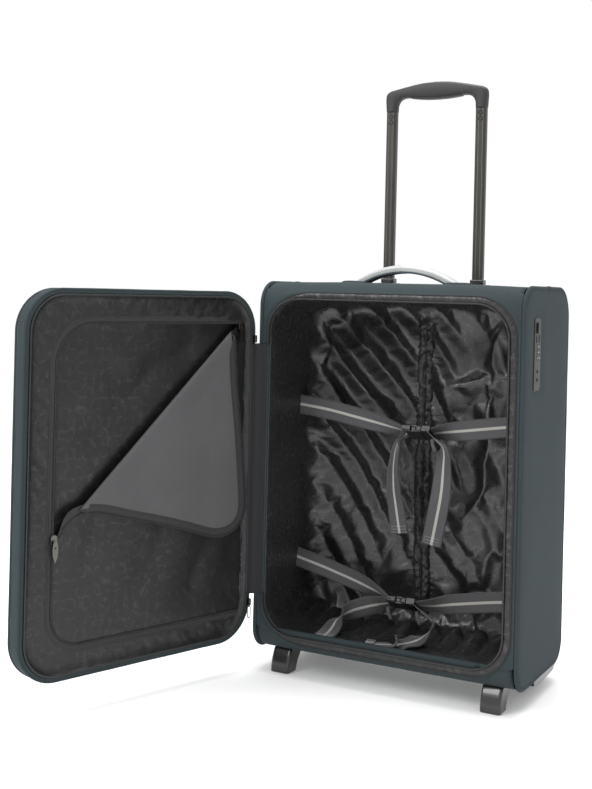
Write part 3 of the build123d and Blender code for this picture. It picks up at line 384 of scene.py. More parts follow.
# ---- Mesh helpers ----------------------------------------------------------------------------
def make_object(name, verts, faces, mat, body=None, replaces=(), uvs=None, smooth=True, slot=None):
    """New mesh piece from points in metres. mat is a key of MAT; uvs has a pair in metres for each point."""
    mesh = bpy.data.meshes.new(name)
    mesh.from_pydata([tuple(v) for v in np.asarray(verts, float)], [], [tuple(f) for f in faces])
    mesh.validate(clean_customdata=False)
    if uvs is not None:
        layer = mesh.uv_layers.new(name="UVMap")
        index = np.zeros(len(mesh.loops), np.int32)
        mesh.loops.foreach_get("vertex_index", index)
        layer.data.foreach_set("uv", np.asarray(uvs, np.float32)[index].ravel())
    mesh.polygons.foreach_set("use_smooth", [smooth] * len(mesh.polygons))
    mesh.materials.append(MAT[mat])
    obj = bpy.data.objects.new(name, mesh)
    bpy.context.scene.collection.objects.link(obj)
    if body is not None:
        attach(obj, body)
    if replaces:
        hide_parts(*replaces)
    return obj


def to_lid(points):
    """Points of the shut lid, moved to where the open lid holds them."""
    m = np.array(LID)
    return np.asarray(points, float) @ m[:3, :3].T + m[:3, 3]


def grid_faces(nu, nv, closed_u=False, closed_v=False):
    """Quads of a grid stored row by row: nu rows of nv points."""
    faces = []
    for i in range(nu if closed_u else nu - 1):
        for j in range(nv if closed_v else nv - 1):
            a = i * nv + j
            b = i * nv + (j + 1) % nv
            c = ((i + 1) % nu) * nv + (j + 1) % nv
            d = ((i + 1) % nu) * nv + j
            faces.append((a, b, c, d))
    return faces


def rounded_outline(corners, radii, step):
    """Closed outline through rounded corners: points, their outward normals and arc lengths."""
    corners = [np.array(c, float) for c in corners]
    count = len(corners)
    points, normals = [], []
    area = sum(
        corners[i][0] * corners[(i + 1) % count][1] - corners[(i + 1) % count][0] * corners[i][1]
        for i in range(count)
    )
    turn = 1 if area > 0 else -1
    trims = []
    for i in range(count):
        before, here, after = corners[i - 1], corners[i], corners[(i + 1) % count]
        a = (before - here) / np.linalg.norm(before - here)
        b = (after - here) / np.linalg.norm(after - here)
        half = math.acos(max(-1, min(1, float(a @ b)))) / 2
        reach = radii[i] / math.tan(half)
        centre = here + (a + b) / np.linalg.norm(a + b) * radii[i] / math.sin(half)
        trims.append((here + a * reach, here + b * reach, centre, half))
    for i in range(count):
        start, end, centre, half = trims[i]
        sweep = math.pi - 2 * half
        n = max(2, int(round(radii[i] * sweep / step)))
        first = math.atan2(*(start - centre)[::-1])
        for k in range(n):
            angle = first + turn * sweep * k / n
            normal = np.array([math.cos(angle), math.sin(angle)])
            points.append(centre + radii[i] * normal)
            normals.append(normal)
        following = trims[(i + 1) % count][0]
        length = np.linalg.norm(following - end)
        n = max(1, int(round(length / step)))
        along = (following - end) / length
        normal = np.array([along[1], -along[0]]) * turn
        for k in range(n):
            points.append(end + (following - end) * k / n)
            normals.append(normal)
    points, normals = np.array(points), np.array(normals)
    gaps = np.linalg.norm(np.roll(points, -1, 0) - points, axis=1)
    return points, normals, np.concatenate([[0], np.cumsum(gaps)[:-1]])


def rect_outline(cx, cz, hx, hz, radius, step):
    """Closed outline of a rounded rectangle."""
    corners = [(cx - hx, cz - hz), (cx + hx, cz - hz), (cx + hx, cz + hz), (cx - hx, cz + hz)]
    return rounded_outline(corners, [radius] * 4, step)


def arc_lengths(points):
    """Distance along a polyline at each of its points."""
    return np.concatenate([[0], np.cumsum(np.linalg.norm(np.diff(points, axis=0), axis=1))])


def open_run(keep):
    """Indices of the kept points of a closed loop, in order from just past the gap."""
    chosen = np.where(keep)[0]
    gap = np.where(np.diff(chosen) > 1)[0]
    if len(gap):
        chosen = np.concatenate([chosen[gap[0] + 1 :], chosen[: gap[0] + 1]])
    return chosen


def frames_along(points, closed, up=None):
    """Tangent, normal and binormal at each point of a path. up is the wished normal, or None."""
    points = np.asarray(points, float)
    if closed:
        tangents = np.roll(points, -1, 0) - np.roll(points, 1, 0)
    else:
        tangents = np.gradient(points, axis=0)
    tangents /= np.linalg.norm(tangents, axis=1)[:, None]
    normals = np.zeros_like(tangents)
    if up is not None:
        wished = np.broadcast_to(np.asarray(up, float), points.shape)
        normals = wished - (wished * tangents).sum(1)[:, None] * tangents
        normals /= np.linalg.norm(normals, axis=1)[:, None]
    else:
        first = np.cross(tangents[0], (0.3, 0.5, 0.8))
        normals[0] = first / np.linalg.norm(first)
        for i in range(1, len(points)):
            n = normals[i - 1] - (normals[i - 1] @ tangents[i]) * tangents[i]
            normals[i] = n / np.linalg.norm(n)
    return tangents, normals, np.cross(tangents, normals)


def sweep_section(points, section, closed=False, up=None, scale=None):
    """Carries a section, a list of (normal, binormal) offsets, along a path."""
    points = np.asarray(points, float)
    section = np.asarray(section, float)
    _, normals, binormals = frames_along(points, closed, up)
    n, k = len(points), len(section)
    factor = np.ones(n) if scale is None else np.asarray(scale, float)
    verts = (
        points[:, None, :]
        + normals[:, None, :] * (section[None, :, :1] * factor[:, None, None])
        + binormals[:, None, :] * (section[None, :, 1:2] * factor[:, None, None])
    ).reshape(-1, 3)
    uvs = np.stack([np.repeat(arc_lengths(points), k), np.tile(arc_lengths(section), n)], axis=1)
    faces = grid_faces(n, k, closed, True)
    if not closed:
        faces.append(tuple(range(k))[::-1])
        faces.append(tuple(range((n - 1) * k, n * k)))
    return verts, faces, uvs


def circle_section(radius, count=10):
    """Round section."""
    angles = np.arange(count) * 2 * math.pi / count
    return np.stack([np.cos(angles), np.sin(angles)], 1) * radius


def join_parts(parts):
    """Joins (verts, faces, uvs) parts into one."""
    verts, faces, uvs, start = [], [], [], 0
    for v, f, u in parts:
        verts.append(v)
        uvs.append(u if u is not None else np.zeros((len(v), 2)))
        faces += [tuple(i + start for i in face) for face in f]
        start += len(v)
    return np.concatenate(verts), faces, np.concatenate(uvs)


def joined(name, parts, mat, body, **settings):
    """One mesh piece made of (verts, faces, uvs) parts."""
    verts, faces, uvs = join_parts(parts)
    return make_object(name, verts, faces, mat, body, uvs=uvs, **settings)


def capsule(length, radius):
    """Small rounded rod along X, used for stitches."""
    sides = 6
    verts, faces = [(-length / 2, 0, 0)], []
    for x, r in ((-length * 0.36, 0.8), (0, 1.0), (length * 0.36, 0.8)):
        for k in range(sides):
            a = 2 * math.pi * k / sides
            verts.append((x, radius * r * math.cos(a), radius * r * math.sin(a)))
    verts.append((length / 2, 0, 0))
    for k in range(sides):
        n = (k + 1) % sides
        faces.append((0, 1 + n, 1 + k))
        for ring in range(2):
            a = 1 + ring * sides
            faces.append((a + k, a + n, a + sides + n, a + sides + k))
        faces.append((1 + 2 * sides + k, 1 + 2 * sides + n, 1 + 3 * sides))
    return np.array(verts), faces


def scatter(template, places):
    """Copies of a template at places: (origin, x axis, y axis, z axis) each."""
    shape, faces = template
    count = len(shape)
    verts, all_faces = [], []
    for i, (origin, ax, ay, az) in enumerate(places):
        verts.append(origin + shape @ np.stack([ax, ay, az]))
        all_faces += [tuple(k + i * count for k in face) for face in faces]
    verts = np.concatenate(verts)
    return verts, all_faces, verts[:, :2].copy()


def resample(points, step, closed=False):
    """Points spaced evenly along a polyline. Columns past the third go along."""
    points = np.asarray(points, float)
    if closed:
        points = np.concatenate([points, points[:1]])
    s = arc_lengths(points[:, :3])
    count = max(2, int(round(s[-1] / step)))
    at = np.linspace(0, s[-1], count + 1)
    if closed:
        at = at[:-1]
    return np.stack([np.interp(at, s, points[:, k]) for k in range(points.shape[1])], 1)


def resample_with(path, up, step, closed):
    """Evenly spaced points of a path, with the surface normal at each."""
    path = np.asarray(path, float)
    ups = np.broadcast_to(np.asarray(up, float), path.shape)
    both = resample(np.concatenate([path, ups], 1), step, closed)
    return both[:, :3], both[:, 3:]


def stitches(path, up, closed=False, pitch=0.0038, length=0.0027, radius=0.00028):
    """Row of stitches along a path, lying on a surface whose normal is up."""
    points, up = resample_with(path, up, pitch, closed)
    tangents, normals, binormals = frames_along(points, closed, up)
    return scatter(capsule(length, radius), zip(points, tangents, binormals, normals))


def round_edges(obj, width, segments, angle):
    """Rounds the edges that are sharper than an angle in degrees."""
    bevel = obj.modifiers.new("bevel", "BEVEL")
    bevel.width = width
    bevel.segments = segments
    bevel.limit_method = "ANGLE"
    bevel.angle_limit = math.radians(angle)


def bevelled(node, width, segments):
    """Smooths the hard edges of a CAD node that stays on show."""
    obj = NODES[node]
    weld = obj.modifiers.new("weld", "WELD")
    weld.merge_threshold = 0.00002
    round_edges(obj, width, segments, 35)


def paint(mat, *names):
    """Gives CAD nodes the material with this key."""
    for name in names:
        mesh = NODES[name].data
        mesh.materials.clear()
        mesh.materials.append(MAT[mat])


# ---- CAD nodes that stay on show -------------------------------------------------------------
paint("outer_cad", "wrap_panel", "side_panels", "side_piping", "carry_handle_strap",
      "lid_outer_panel", "lid_piping", "outer_pocket")
paint("hidden_board", "stiffening_boards", "lid_board")
paint("wire", "front_wire_frame", "lid_wire_frame")
paint("tape", "body_zip", "lid_zip", "hinge_strip", "back_lining_zip", "pocket_zip", "outer_pocket_zip")
paint("lining", "body_lining", "lid_lining", "pocket_panel")
paint("flap", "pocket_flap")
paint("silver", "carry_handle_grip")
paint("gloss_black", "wheel_housings", "feet", "handle_bezels", "mid_collars")
paint("matt_black", "tube_base_bracket", "wheel_hub_left", "wheel_hub_right", "upper_buckle_socket",
      "lower_buckle_socket", "upper_buckle_clip", "lower_buckle_clip")
paint("grip", "handle_grip", "release_bar")
paint("tube", "outer_tubes", "mid_tubes", "inner_tubes")
paint("steel", "wheel_axles", "base_screws", "pull_rods")
paint("dark_steel", "grip_rivets")
paint("rubber", "tyre_left", "tyre_right")
paint("lock", "lock_housing", "lock_button")
paint("dial", "lock_dial_1", "lock_dial_2", "lock_dial_3")
paint("webbing", "left_straps", "upper_right_strap", "lower_right_strap", "upper_right_tail",
      "lower_right_tail")
paint("pewter", "pocket_slider_left", "pocket_pull_left", "pocket_pull_top", "parked_sliders",
      "main_pull", "outer_pocket_pull")


# ---- Noise and surfaces ----------------------------------------------------------------------
LATTICE = np.random.default_rng(11).random((32, 32, 32))
LATTICE_SIZE = len(LATTICE)


def bumps(points, scale, octaves=2):
    """Smooth noise from -1 to 1 at points in metres, with features about 1/scale metres wide."""
    points = np.asarray(points, float)
    if points.shape[-1] == 2:
        points = np.concatenate([points, np.full(points.shape[:-1] + (1,), 0.37)], -1)
    total, weight, amount = 0.0, 1.0, 0.0
    for octave in range(octaves):
        q = points * scale * 2 ** octave + 7.3 * octave
        cell = np.floor(q).astype(int)
        f = q - cell
        f = f * f * (3 - 2 * f)
        value = 0.0
        for corner in range(8):
            step = np.array([corner >> 2 & 1, corner >> 1 & 1, corner & 1])
            index = (cell + step) % LATTICE_SIZE
            share = np.prod(np.where(step == 1, f, 1 - f), -1)
            value = value + share * LATTICE[index[..., 0], index[..., 1], index[..., 2]]
        total = total + weight * (2 * value - 1)
        amount += weight
        weight *= 0.5
    return total / amount


def smooth_step(value, low, high):
    """0 below low, 1 above high, smooth between them."""
    t = np.clip((value - low) / (high - low), 0, 1)
    return t * t * (3 - 2 * t)


def ridge(t, sharp=0.7):
    """Soft folds with narrow valleys, one for each whole step of t, from 0 to 1."""
    return np.abs(np.sin(math.pi * t)) ** sharp


def rounded_distance(points, corners, radii):
    """Signed distance to an axis-aligned rounded rectangle, negative inside.
    corners are its lowest and highest corner; radii go with the quadrants -x-z, +x-z, +x+z, -x+z."""
    points = np.asarray(points, float)
    low, high = np.array(corners[0], float), np.array(corners[1], float)
    centre, half = (low + high) / 2, (high - low) / 2
    q = points - centre
    r = np.where(
        q[..., 1] < 0,
        np.where(q[..., 0] < 0, radii[0], radii[1]),
        np.where(q[..., 0] < 0, radii[3], radii[2]),
    )
    d = np.abs(q) - half + r[..., None]
    outside = np.linalg.norm(np.maximum(d, 0), axis=-1)
    return outside + np.minimum(np.max(d, -1), 0) - r


def patch(corners, radii, step):
    """Grid of points that fills a rounded rectangle, with its rim moved onto the outline.
    Gives the points, the faces and each point's distance inside the outline."""
    low, high = np.array(corners[0], float), np.array(corners[1], float)
    nu = int(math.ceil((high[0] - low[0]) / step)) + 1
    nv = int(math.ceil((high[1] - low[1]) / step)) + 1
    u, v = np.linspace(low[0], high[0], nu), np.linspace(low[1], high[1], nv)
    points = np.stack(np.meshgrid(u, v, indexing="ij"), -1).reshape(-1, 2)
    faces = np.array(grid_faces(nu, nv))
    du = (high[0] - low[0]) / (nu - 1)
    distance = rounded_distance(points, corners, radii)
    e = 1e-5
    slope = np.stack(
        [
            rounded_distance(points + (e, 0), corners, radii) - distance,
            rounded_distance(points + (0, e), corners, radii) - distance,
        ],
        -1,
    ) / e
    near = (np.abs(distance) < 0.55 * du)
    moved = points - slope * distance[:, None]
    points = np.where(near[:, None], moved, points)
    distance = np.where(near, 0.0, distance)
    keep = (distance[faces] <= 1e-6).all(1)
    faces = faces[keep]
    used = np.unique(faces)
    index = np.full(len(points), -1)
    index[used] = np.arange(len(used))
    return points[used], [tuple(f) for f in index[faces]], -distance[used]


def thicken(obj, thickness, offset=-1.0):
    """Gives an open skin its thickness."""
    solid = obj.modifiers.new("thickness", "SOLIDIFY")
    solid.thickness = thickness
    solid.offset = offset
    solid.use_even_offset = False
    return obj


def face_towards(obj, direction):
    """Turns a skin over if it faces away from a direction."""
    total = sum((Vector(p.normal) * p.area for p in obj.data.polygons), Vector())
    if total.dot(Vector(direction)) < 0:
        obj.data.flip_normals()


def kept_faces(faces, keep):
    """Faces whose points are all kept, numbered as the points are once the others are gone."""
    index = np.cumsum(keep) - 1
    return [tuple(index[i] for i in face) for face in faces if all(keep[i] for i in face)]


def depth_path(points, y):
    """Outline points (x, z) at depth y, which is one number or one for each point."""
    return np.stack([points[:, 0], np.full(len(points), y), points[:, 1]], 1)


# ---- Sizes taken from the frame --------------------------------------------------------------
WRAP_LOW, WRAP_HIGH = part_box("wrap_panel")
FRONT, BACK = WRAP_LOW.y, WRAP_HIGH.y
LOW, HIGH = WRAP_LOW.z, WRAP_HIGH.z
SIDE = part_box("side_panels")[1].x
LINING_LOW, LINING_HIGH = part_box("body_lining")
LOCK_LOW, LOCK_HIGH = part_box("lock_housing")
STRIP_LOW, STRIP_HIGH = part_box("hinge_strip")
WHEEL = Vector(JOINTS["wheel_right_spin"]["pos_m"])

# ---- Sizes of the fabric shapes, in metres ---------------------------------------------------
R_FRONT_TOP, R_BACK_TOP, R_BOTTOM = 0.030, 0.038, 0.028
FABRIC_THICK, TAPE_THICK = 0.0016, 0.0009
# Centre x, centre z, half width, half height and corner radius
OPENING = (-0.0025, 0.2765, 0.168, 0.224, 0.0445)
LID_PANEL = (-0.0025, 0.2765, 0.1735, 0.2295, 0.050)
LINING_CORNER = 0.045
SEAM_X = 0.001
LID_BACK_Y = HINGE.y - 0.0022
LID_FRONT_Y = LID_BACK_Y - 0.023
POCKET_Y = HINGE.y - 0.0074

profile_points, profile_normals, profile_s = rounded_outline(
    [(FRONT, LOW), (BACK, LOW), (BACK, HIGH), (FRONT, HIGH)],
    [R_BOTTOM, R_BOTTOM, R_BACK_TOP, R_FRONT_TOP],
    0.002,
)
PROFILE_LENGTH = float(profile_s[-1] + np.linalg.norm(profile_points[0] - profile_points[-1]))


def profile_at(s):
    """Point (y, z) and outward normal of the body's side outline at arc length s."""
    s = np.mod(s, PROFILE_LENGTH)
    at = np.concatenate([profile_s, [PROFILE_LENGTH]])
    found = []
    for table in (profile_points, profile_normals):
        closed = np.concatenate([table, table[:1]])
        found.append(np.stack([np.interp(s, at, closed[:, k]) for k in (0, 1)], -1))
    normal = found[1] / np.linalg.norm(found[1], axis=-1)[..., None]
    return found[0], normal


def front_s(z):
    """Arc length of the front's point at height z, measured down from the top."""
    front = (profile_points[:, 0] < 0) & (profile_s > PROFILE_LENGTH / 2)
    zs, ss = profile_points[front][:, 1], profile_s[front]
    order = np.argsort(zs)
    return np.interp(z, zs[order], ss[order])


# ---- Outer shell of the body -----------------------------------------------------------------
def shell_height(x, s, edge_distance):
    """How far the outer fabric stands out from the plain shell."""
    _, normal = profile_at(s)
    inner = SIDE - mm(4.0)
    across = np.clip(np.abs(x) / inner, 0, 1)
    crown = 1 - across ** 4
    level = np.maximum(normal[..., 1], 0) ** 2
    rear = np.maximum(normal[..., 0], 0) ** 2
    low = np.maximum(-normal[..., 1], 0) ** 2
    rise = crown * (mm(2.2) * level + mm(2.4) * rear + mm(0.4) * low)
    flat = np.stack([x, s], -1)
    rise = rise + mm(0.5) * bumps(flat, 16, 3) * crown
    seam = np.exp(-(inner - np.abs(x)) / mm(7))
    rise = rise + mm(0.35) * seam * bumps(flat * (0.3, 1.0), 170, 2) - mm(0.5) * seam
    wire = np.exp(-(((edge_distance - mm(7)) / mm(4.5)) ** 2))
    return rise + mm(1.3) * wire + mm(0.22) * wire * bumps(flat, 90, 2)


def build_wrap():
    """Front border, top, back and underside in one skin with a turned-in edge at the opening."""
    cx, cz, hx, hz, radius = OPENING
    inner_x = SIDE - mm(3.4)
    loop, normals, _ = rect_outline(cx, cz, hx, hz, radius, mm(4))
    s_loop = front_s(loop[:, 1])
    z_top, z_low = HIGH - mm(6.5), LOW + mm(6.5)
    s_top, s_low = front_s(z_top), front_s(z_low)
    outer = []
    for x, (nx, nz), s in zip(loop[:, 0], normals, s_loop):
        sx, sz = np.sign(nx), np.sign(nz)
        corner_x, corner_z = cx + sx * (hx - radius), cz + sz * (hz - radius)
        angle = math.degrees(math.atan2(abs(nz), abs(nx)))
        end = s_top if nz > 0 else s_low
        if angle > 89.99:
            outer.append((x, end))
        elif angle < 0.01:
            outer.append((sx * inner_x, s))
        elif angle >= 45:
            outer.append((corner_x + (sx * inner_x - corner_x) * (90 - angle) / 45, end))
        else:
            from_s = front_s(corner_z)
            outer.append((sx * inner_x, from_s + (end - from_s) * angle / 45))
    outer = np.array(outer)
    inner = np.stack([loop[:, 0], s_loop], 1)
    layers = np.concatenate([[0.0, 0.08, 0.18], np.linspace(0.3, 1.0, 8)])
    n = len(loop)
    reach = np.linalg.norm(outer - inner, axis=1)
    flat = np.concatenate([inner + (outer - inner) * t for t in layers])
    edge = np.concatenate([reach * t for t in layers])
    by_x = sorted(range(n), key=lambda i: outer[i, 0])
    top_row, low_row = ([i for i in by_x if abs(outer[i, 1] - end) < 1e-7] for end in (s_top, s_low))
    xs = outer[top_row, 0]
    start, end = s_top, s_low - PROFILE_LENGTH
    count = int(round((start - end) / mm(4.5)))
    band_s = np.linspace(start, end, count + 1)[1:-1]
    band = np.stack([np.repeat(xs[None], len(band_s), 0), np.repeat(band_s[:, None], len(xs), 1)], -1)
    base = len(flat)
    far_in = mm(90)
    flat = np.concatenate([flat, band.reshape(-1, 2)])
    edge = np.concatenate([edge, np.full(band.shape[0] * band.shape[1], far_in)])
    faces = []
    for layer in range(len(layers) - 1):
        for i in range(n):
            a, b = layer * n + i, layer * n + (i + 1) % n
            faces.append((a, b, b + n, a + n))
    last = (len(layers) - 1) * n
    width = len(xs)
    rows_index = [[last + i for i in top_row]]
    rows_index += [[base + r * width + c for c in range(width)] for r in range(len(band_s))]
    rows_index.append([last + i for i in low_row])
    for upper, lower in zip(rows_index, rows_index[1:]):
        for c in range(width - 1):
            faces.append((upper[c], upper[c + 1], lower[c + 1], lower[c]))
    x, s = flat[:, 0], flat[:, 1]
    point, normal = profile_at(s)
    rise = shell_height(x, s, edge)
    verts = np.stack([x, point[:, 0] + normal[:, 0] * rise, point[:, 1] + normal[:, 1] * rise], 1)
    lip_layers = []
    for depth, pull in ((mm(0.9), mm(0.7)), (mm(2.2), mm(1.0)), (mm(5.0), mm(1.0))):
        lip = verts[:n].copy()
        lip[:, 1] += depth
        lip[:, 0] -= normals[:, 0] * pull
        lip[:, 2] -= normals[:, 1] * pull
        lip_layers.append(lip)
    base = len(verts)
    verts = np.concatenate([verts, *lip_layers])
    uvs = np.concatenate([flat, *[inner] * 3])
    chain = [list(range(n))] + [[base + k * n + i for i in range(n)] for k in range(3)]
    for upper, lower in zip(chain, chain[1:]):
        for i in range(n):
            j = (i + 1) % n
            faces.append((upper[j], upper[i], lower[i], lower[j]))
    centres = np.array([verts[list(f)].mean(0) for f in faces])
    drop = np.zeros(len(faces), bool)
    post_half_x, post_half_y = mm(12), mm(10)
    for px, py in post_middles():
        hole = (np.abs(centres[:, 0] - px) < post_half_x) & (np.abs(centres[:, 1] - py) < post_half_y)
        drop |= hole & (centres[:, 2] > HIGH - mm(150))
    arch_half, arch_front, arch_top = mm(13), WHEEL.y - mm(30), mm(52)
    for side in (-1, 1):
        wheel = (np.abs(centres[:, 0] - side * WHEEL.x) < arch_half) & (centres[:, 1] > arch_front)
        drop |= wheel & (centres[:, 2] < arch_top)
    faces = [f for f, gone in zip(faces, drop) if not gone]
    obj = make_object("shell_wrap", verts, faces, "outer", "main_body", ["wrap_panel"], uvs,
                      slot="outer_fabric")
    fix_normals(obj)
    thicken(obj, FABRIC_THICK)


def fix_normals(obj):
    """Makes the faces of an open or closed skin point the same way, outwards."""
    bm = bmesh.new()
    bm.from_mesh(obj.data)
    bmesh.ops.recalc_face_normals(bm, faces=bm.faces)
    bm.to_mesh(obj.data)
    bm.free()


def post_middles():
    """Middle (x, y) of the left and right outer tube."""
    co = np.array([v.co for v in NODES["outer_tubes"].data.vertices])
    found = []
    for side in (-1, 1):
        part = co[np.sign(co[:, 0]) == side]
        low, high = Vector(part.min(0)), Vector(part.max(0))
        found.append(((low.x + high.x) / 2, (low.y + high.y) / 2))
    return found


def build_sides():
    """Left and right side panels, padded a little between their piped edges."""
    parts = []
    corners = ((FRONT + mm(1.0), LOW + mm(1.0)), (BACK - mm(1.0), HIGH - mm(1.0)))
    radii = [R_BOTTOM, R_BOTTOM, R_BACK_TOP, R_FRONT_TOP]
    for side in (-1, 1):
        flat, faces, inside = patch(corners, radii, mm(3.5))
        y, z = flat[:, 0], flat[:, 1]
        puff = mm(2.6) * (1 - np.exp(-inside / mm(16))) - mm(0.7)
        cloud = bumps(np.stack([y, z, np.full_like(y, side * 0.3)], 1), 11, 2)
        puff += mm(0.8) * cloud * smooth_step(inside, 0, 0.03)
        puff += mm(0.28) * np.exp(-inside / mm(9)) * bumps(flat, 150, 2)
        if side > 0:
            lock_y, lock_z = (LOCK_LOW.y + LOCK_HIGH.y) / 2, (LOCK_LOW.z + LOCK_HIGH.z) / 2
            half_y, half_z, fade = mm(13), mm(45), mm(22)
            past_y = np.maximum(np.abs(y - lock_y) - half_y, 0)
            past_z = np.maximum(np.abs(z - lock_z) - half_z, 0)
            puff *= smooth_step(np.sqrt(past_y ** 2 + past_z ** 2), -mm(6), fade)
        x = side * (SIDE + puff)
        verts = np.stack([x, y, z], 1)
        if side < 0:
            faces = [f[::-1] for f in faces]
        parts.append((verts, faces, flat))
    verts, faces, uvs = join_parts(parts)
    margin = mm(5)
    under_lock = verts[:, 0] > 0
    for k in (1, 2):
        under_lock &= (verts[:, k] > LOCK_LOW[k] + margin) & (verts[:, k] < LOCK_HIGH[k] - margin)
    faces = kept_faces(faces, ~under_lock)
    verts, uvs = verts[~under_lock], uvs[~under_lock]
    obj = make_object("shell_sides", verts, faces, "outer", "main_body", ["side_panels"], uvs,
                      slot="outer_fabric")
    thicken(obj, FABRIC_THICK)


def side_path(side):
    """Path of the piping round one side, in 3-D."""
    inset, step = mm(0.6), mm(3)
    front, back, low, high = FRONT + inset, BACK - inset, LOW + inset, HIGH - inset
    points, normals, _ = rounded_outline(
        [(front, low), (back, low), (back, high), (front, high)],
        [R_BOTTOM - inset, R_BOTTOM - inset, R_BACK_TOP - inset, R_FRONT_TOP - inset],
        step,
    )
    path = np.stack([np.full(len(points), side * (SIDE - mm(1.0))), points[:, 0], points[:, 1]], 1)
    wobble = bumps(path, 26, 2)
    path[:, 0] += mm(0.35) * wobble
    return path, normals


def build_piping():
    """Piped seams round both sides, the overlap where each piping ends, and the stitching beside them."""
    radius, sleeve_radius, overlap_y = mm(2.75), mm(3.25), mm(8)
    parts, threads = [], []
    for side in (-1, 1):
        path, normals = side_path(side)
        swell = 1 + 0.05 * bumps(path, 60, 2)
        parts.append(sweep_section(path, circle_section(radius, 12), closed=True, scale=swell))
        top = np.argmin(np.abs(path[:, 1] - overlap_y) + 10 * np.abs(path[:, 2] - HIGH))
        sleeve = np.array([path[(top + k) % len(path)] for k in range(-3, 4)])
        fat = np.array([0.2, 1.0, 1.04, 1.05, 1.04, 1.0, 0.2])
        parts.append(sweep_section(sleeve, circle_section(sleeve_radius, 12), scale=fat))
        flange_up = np.stack([np.zeros(len(path)), normals[:, 0], normals[:, 1]], 1)
        seam = path + flange_up * mm(0.7)
        seam[:, 0] = side * (SIDE - mm(5.6))
        threads.append(stitches(seam, flange_up, closed=True))
    joined("shell_piping", parts, "piping", "main_body", replaces=["side_piping"], slot="outer_fabric")
    joined("shell_stitching", threads, "thread", "main_body")


# ---- Lining of the main compartment ----------------------------------------------------------


def back_folds(x, z):
    """How far the back lining stands forward of the back board, from its folds."""
    flat = np.stack([x, z], -1)
    lean = 0.8 * x + 0.6 * z
    vary = np.clip(0.7 + 0.9 * bumps(np.stack([lean, 0.3 * (z - x)], -1), 9, 2), 0.15, 1.3)
    pulled = ridge(lean / mm(37) + 0.75 * bumps(flat, 5.5, 2), 1.5)
    slump = (1 - np.abs(bumps(np.stack([x * 1.3, z * 0.7, 0 * x + 0.9], -1), 13, 2))) ** 3
    right = smooth_step(x, mm(5), mm(70))
    folds = pulled * (1 - 0.7 * right) + slump * (0.25 + 0.75 * right)
    return mm(14) * folds * vary + mm(2.6) * bumps(flat, 24, 3)


def settle(obj, pins, grow, frames):
    """Lets a sheet fall into wrinkles: its cloth grows by a share while some of its points are held."""
    scene = bpy.context.scene
    group = obj.vertex_groups.new(name="held")
    for index, weight in enumerate(pins):
        if weight > 0:
            group.add([index], float(weight), "REPLACE")
    cloth = obj.modifiers.new("cloth", "CLOTH")
    cloth.settings.quality = 5
    cloth.settings.mass = 0.12
    cloth.settings.tension_stiffness = cloth.settings.compression_stiffness = 12
    cloth.settings.shear_stiffness = 6
    cloth.settings.bending_stiffness = 2.0
    cloth.settings.air_damping = 8
    cloth.settings.shrink_min = cloth.settings.shrink_max = -grow
    cloth.settings.vertex_group_mass = "held"
    cloth.settings.effector_weights.gravity = 0.0
    cloth.collision_settings.use_collision = False
    cloth.collision_settings.use_self_collision = False
    cloth.point_cache.frame_start, cloth.point_cache.frame_end = 1, frames
    for frame_number in range(1, frames + 1):
        scene.frame_set(frame_number)
    graph = bpy.context.evaluated_depsgraph_get()
    coords = np.array([v.co for v in obj.evaluated_get(graph).data.vertices])
    obj.modifiers.remove(cloth)
    obj.vertex_groups.remove(group)
    scene.frame_set(1)
    obj.data.vertices.foreach_set("co", coords.ravel())
    obj.data.update()


def build_back_lining():
    """Loose back lining, pulled into folds by the packing straps and gathered on its middle seam."""
    gap, corner, fullness = mm(1.6), mm(44), 1.095
    low, high = (LINING_LOW.x + gap, LINING_LOW.z + gap), (LINING_HIGH.x - gap, LINING_HIGH.z - gap)
    flat, faces, inside = patch((low, high), [corner] * 4, mm(2.6))
    x, z = flat[:, 0], flat[:, 1]
    back = LINING_HIGH.y - mm(2.5)
    height = back_folds(x, z)
    seam_gap = np.abs(x - SEAM_X)
    seam = np.exp(-((seam_gap / mm(15)) ** 2))
    gather = ridge(z / mm(7.5) + 0.8 * bumps(flat, 70, 2) + 0.01 / (seam_gap + 0.01), 1.2)
    height = height * (1 - 0.75 * seam) + seam * mm(2.6) * gather * (0.6 + 0.5 * bumps(flat, 40, 1))
    rim = np.exp(-inside / mm(12))
    pleats = ridge(np.arctan2(z - mm(276), x) * 9 + bumps(flat, 14, 2))
    height = height * (1 - 0.6 * rim) + mm(26) * np.exp(-inside / mm(9)) + mm(3) * rim * pleats
    obj = make_object("lining_back", depth_path(flat, back - height), faces, "lining", "main_body", [], flat,
                      slot="lining")
    fix_normals(obj)
    held = np.clip(np.maximum(1 - inside / mm(9), 1 - seam_gap / mm(10)), 0, 1)
    settle(obj, np.where(held > 0.05, np.minimum(1, held * 2), 0), 0.018, 12)
    coords = np.array([v.co for v in obj.data.vertices])
    coords[:, 1] = np.minimum(coords[:, 1], back + mm(1.2))
    obj.data.vertices.foreach_set("co", coords.ravel())


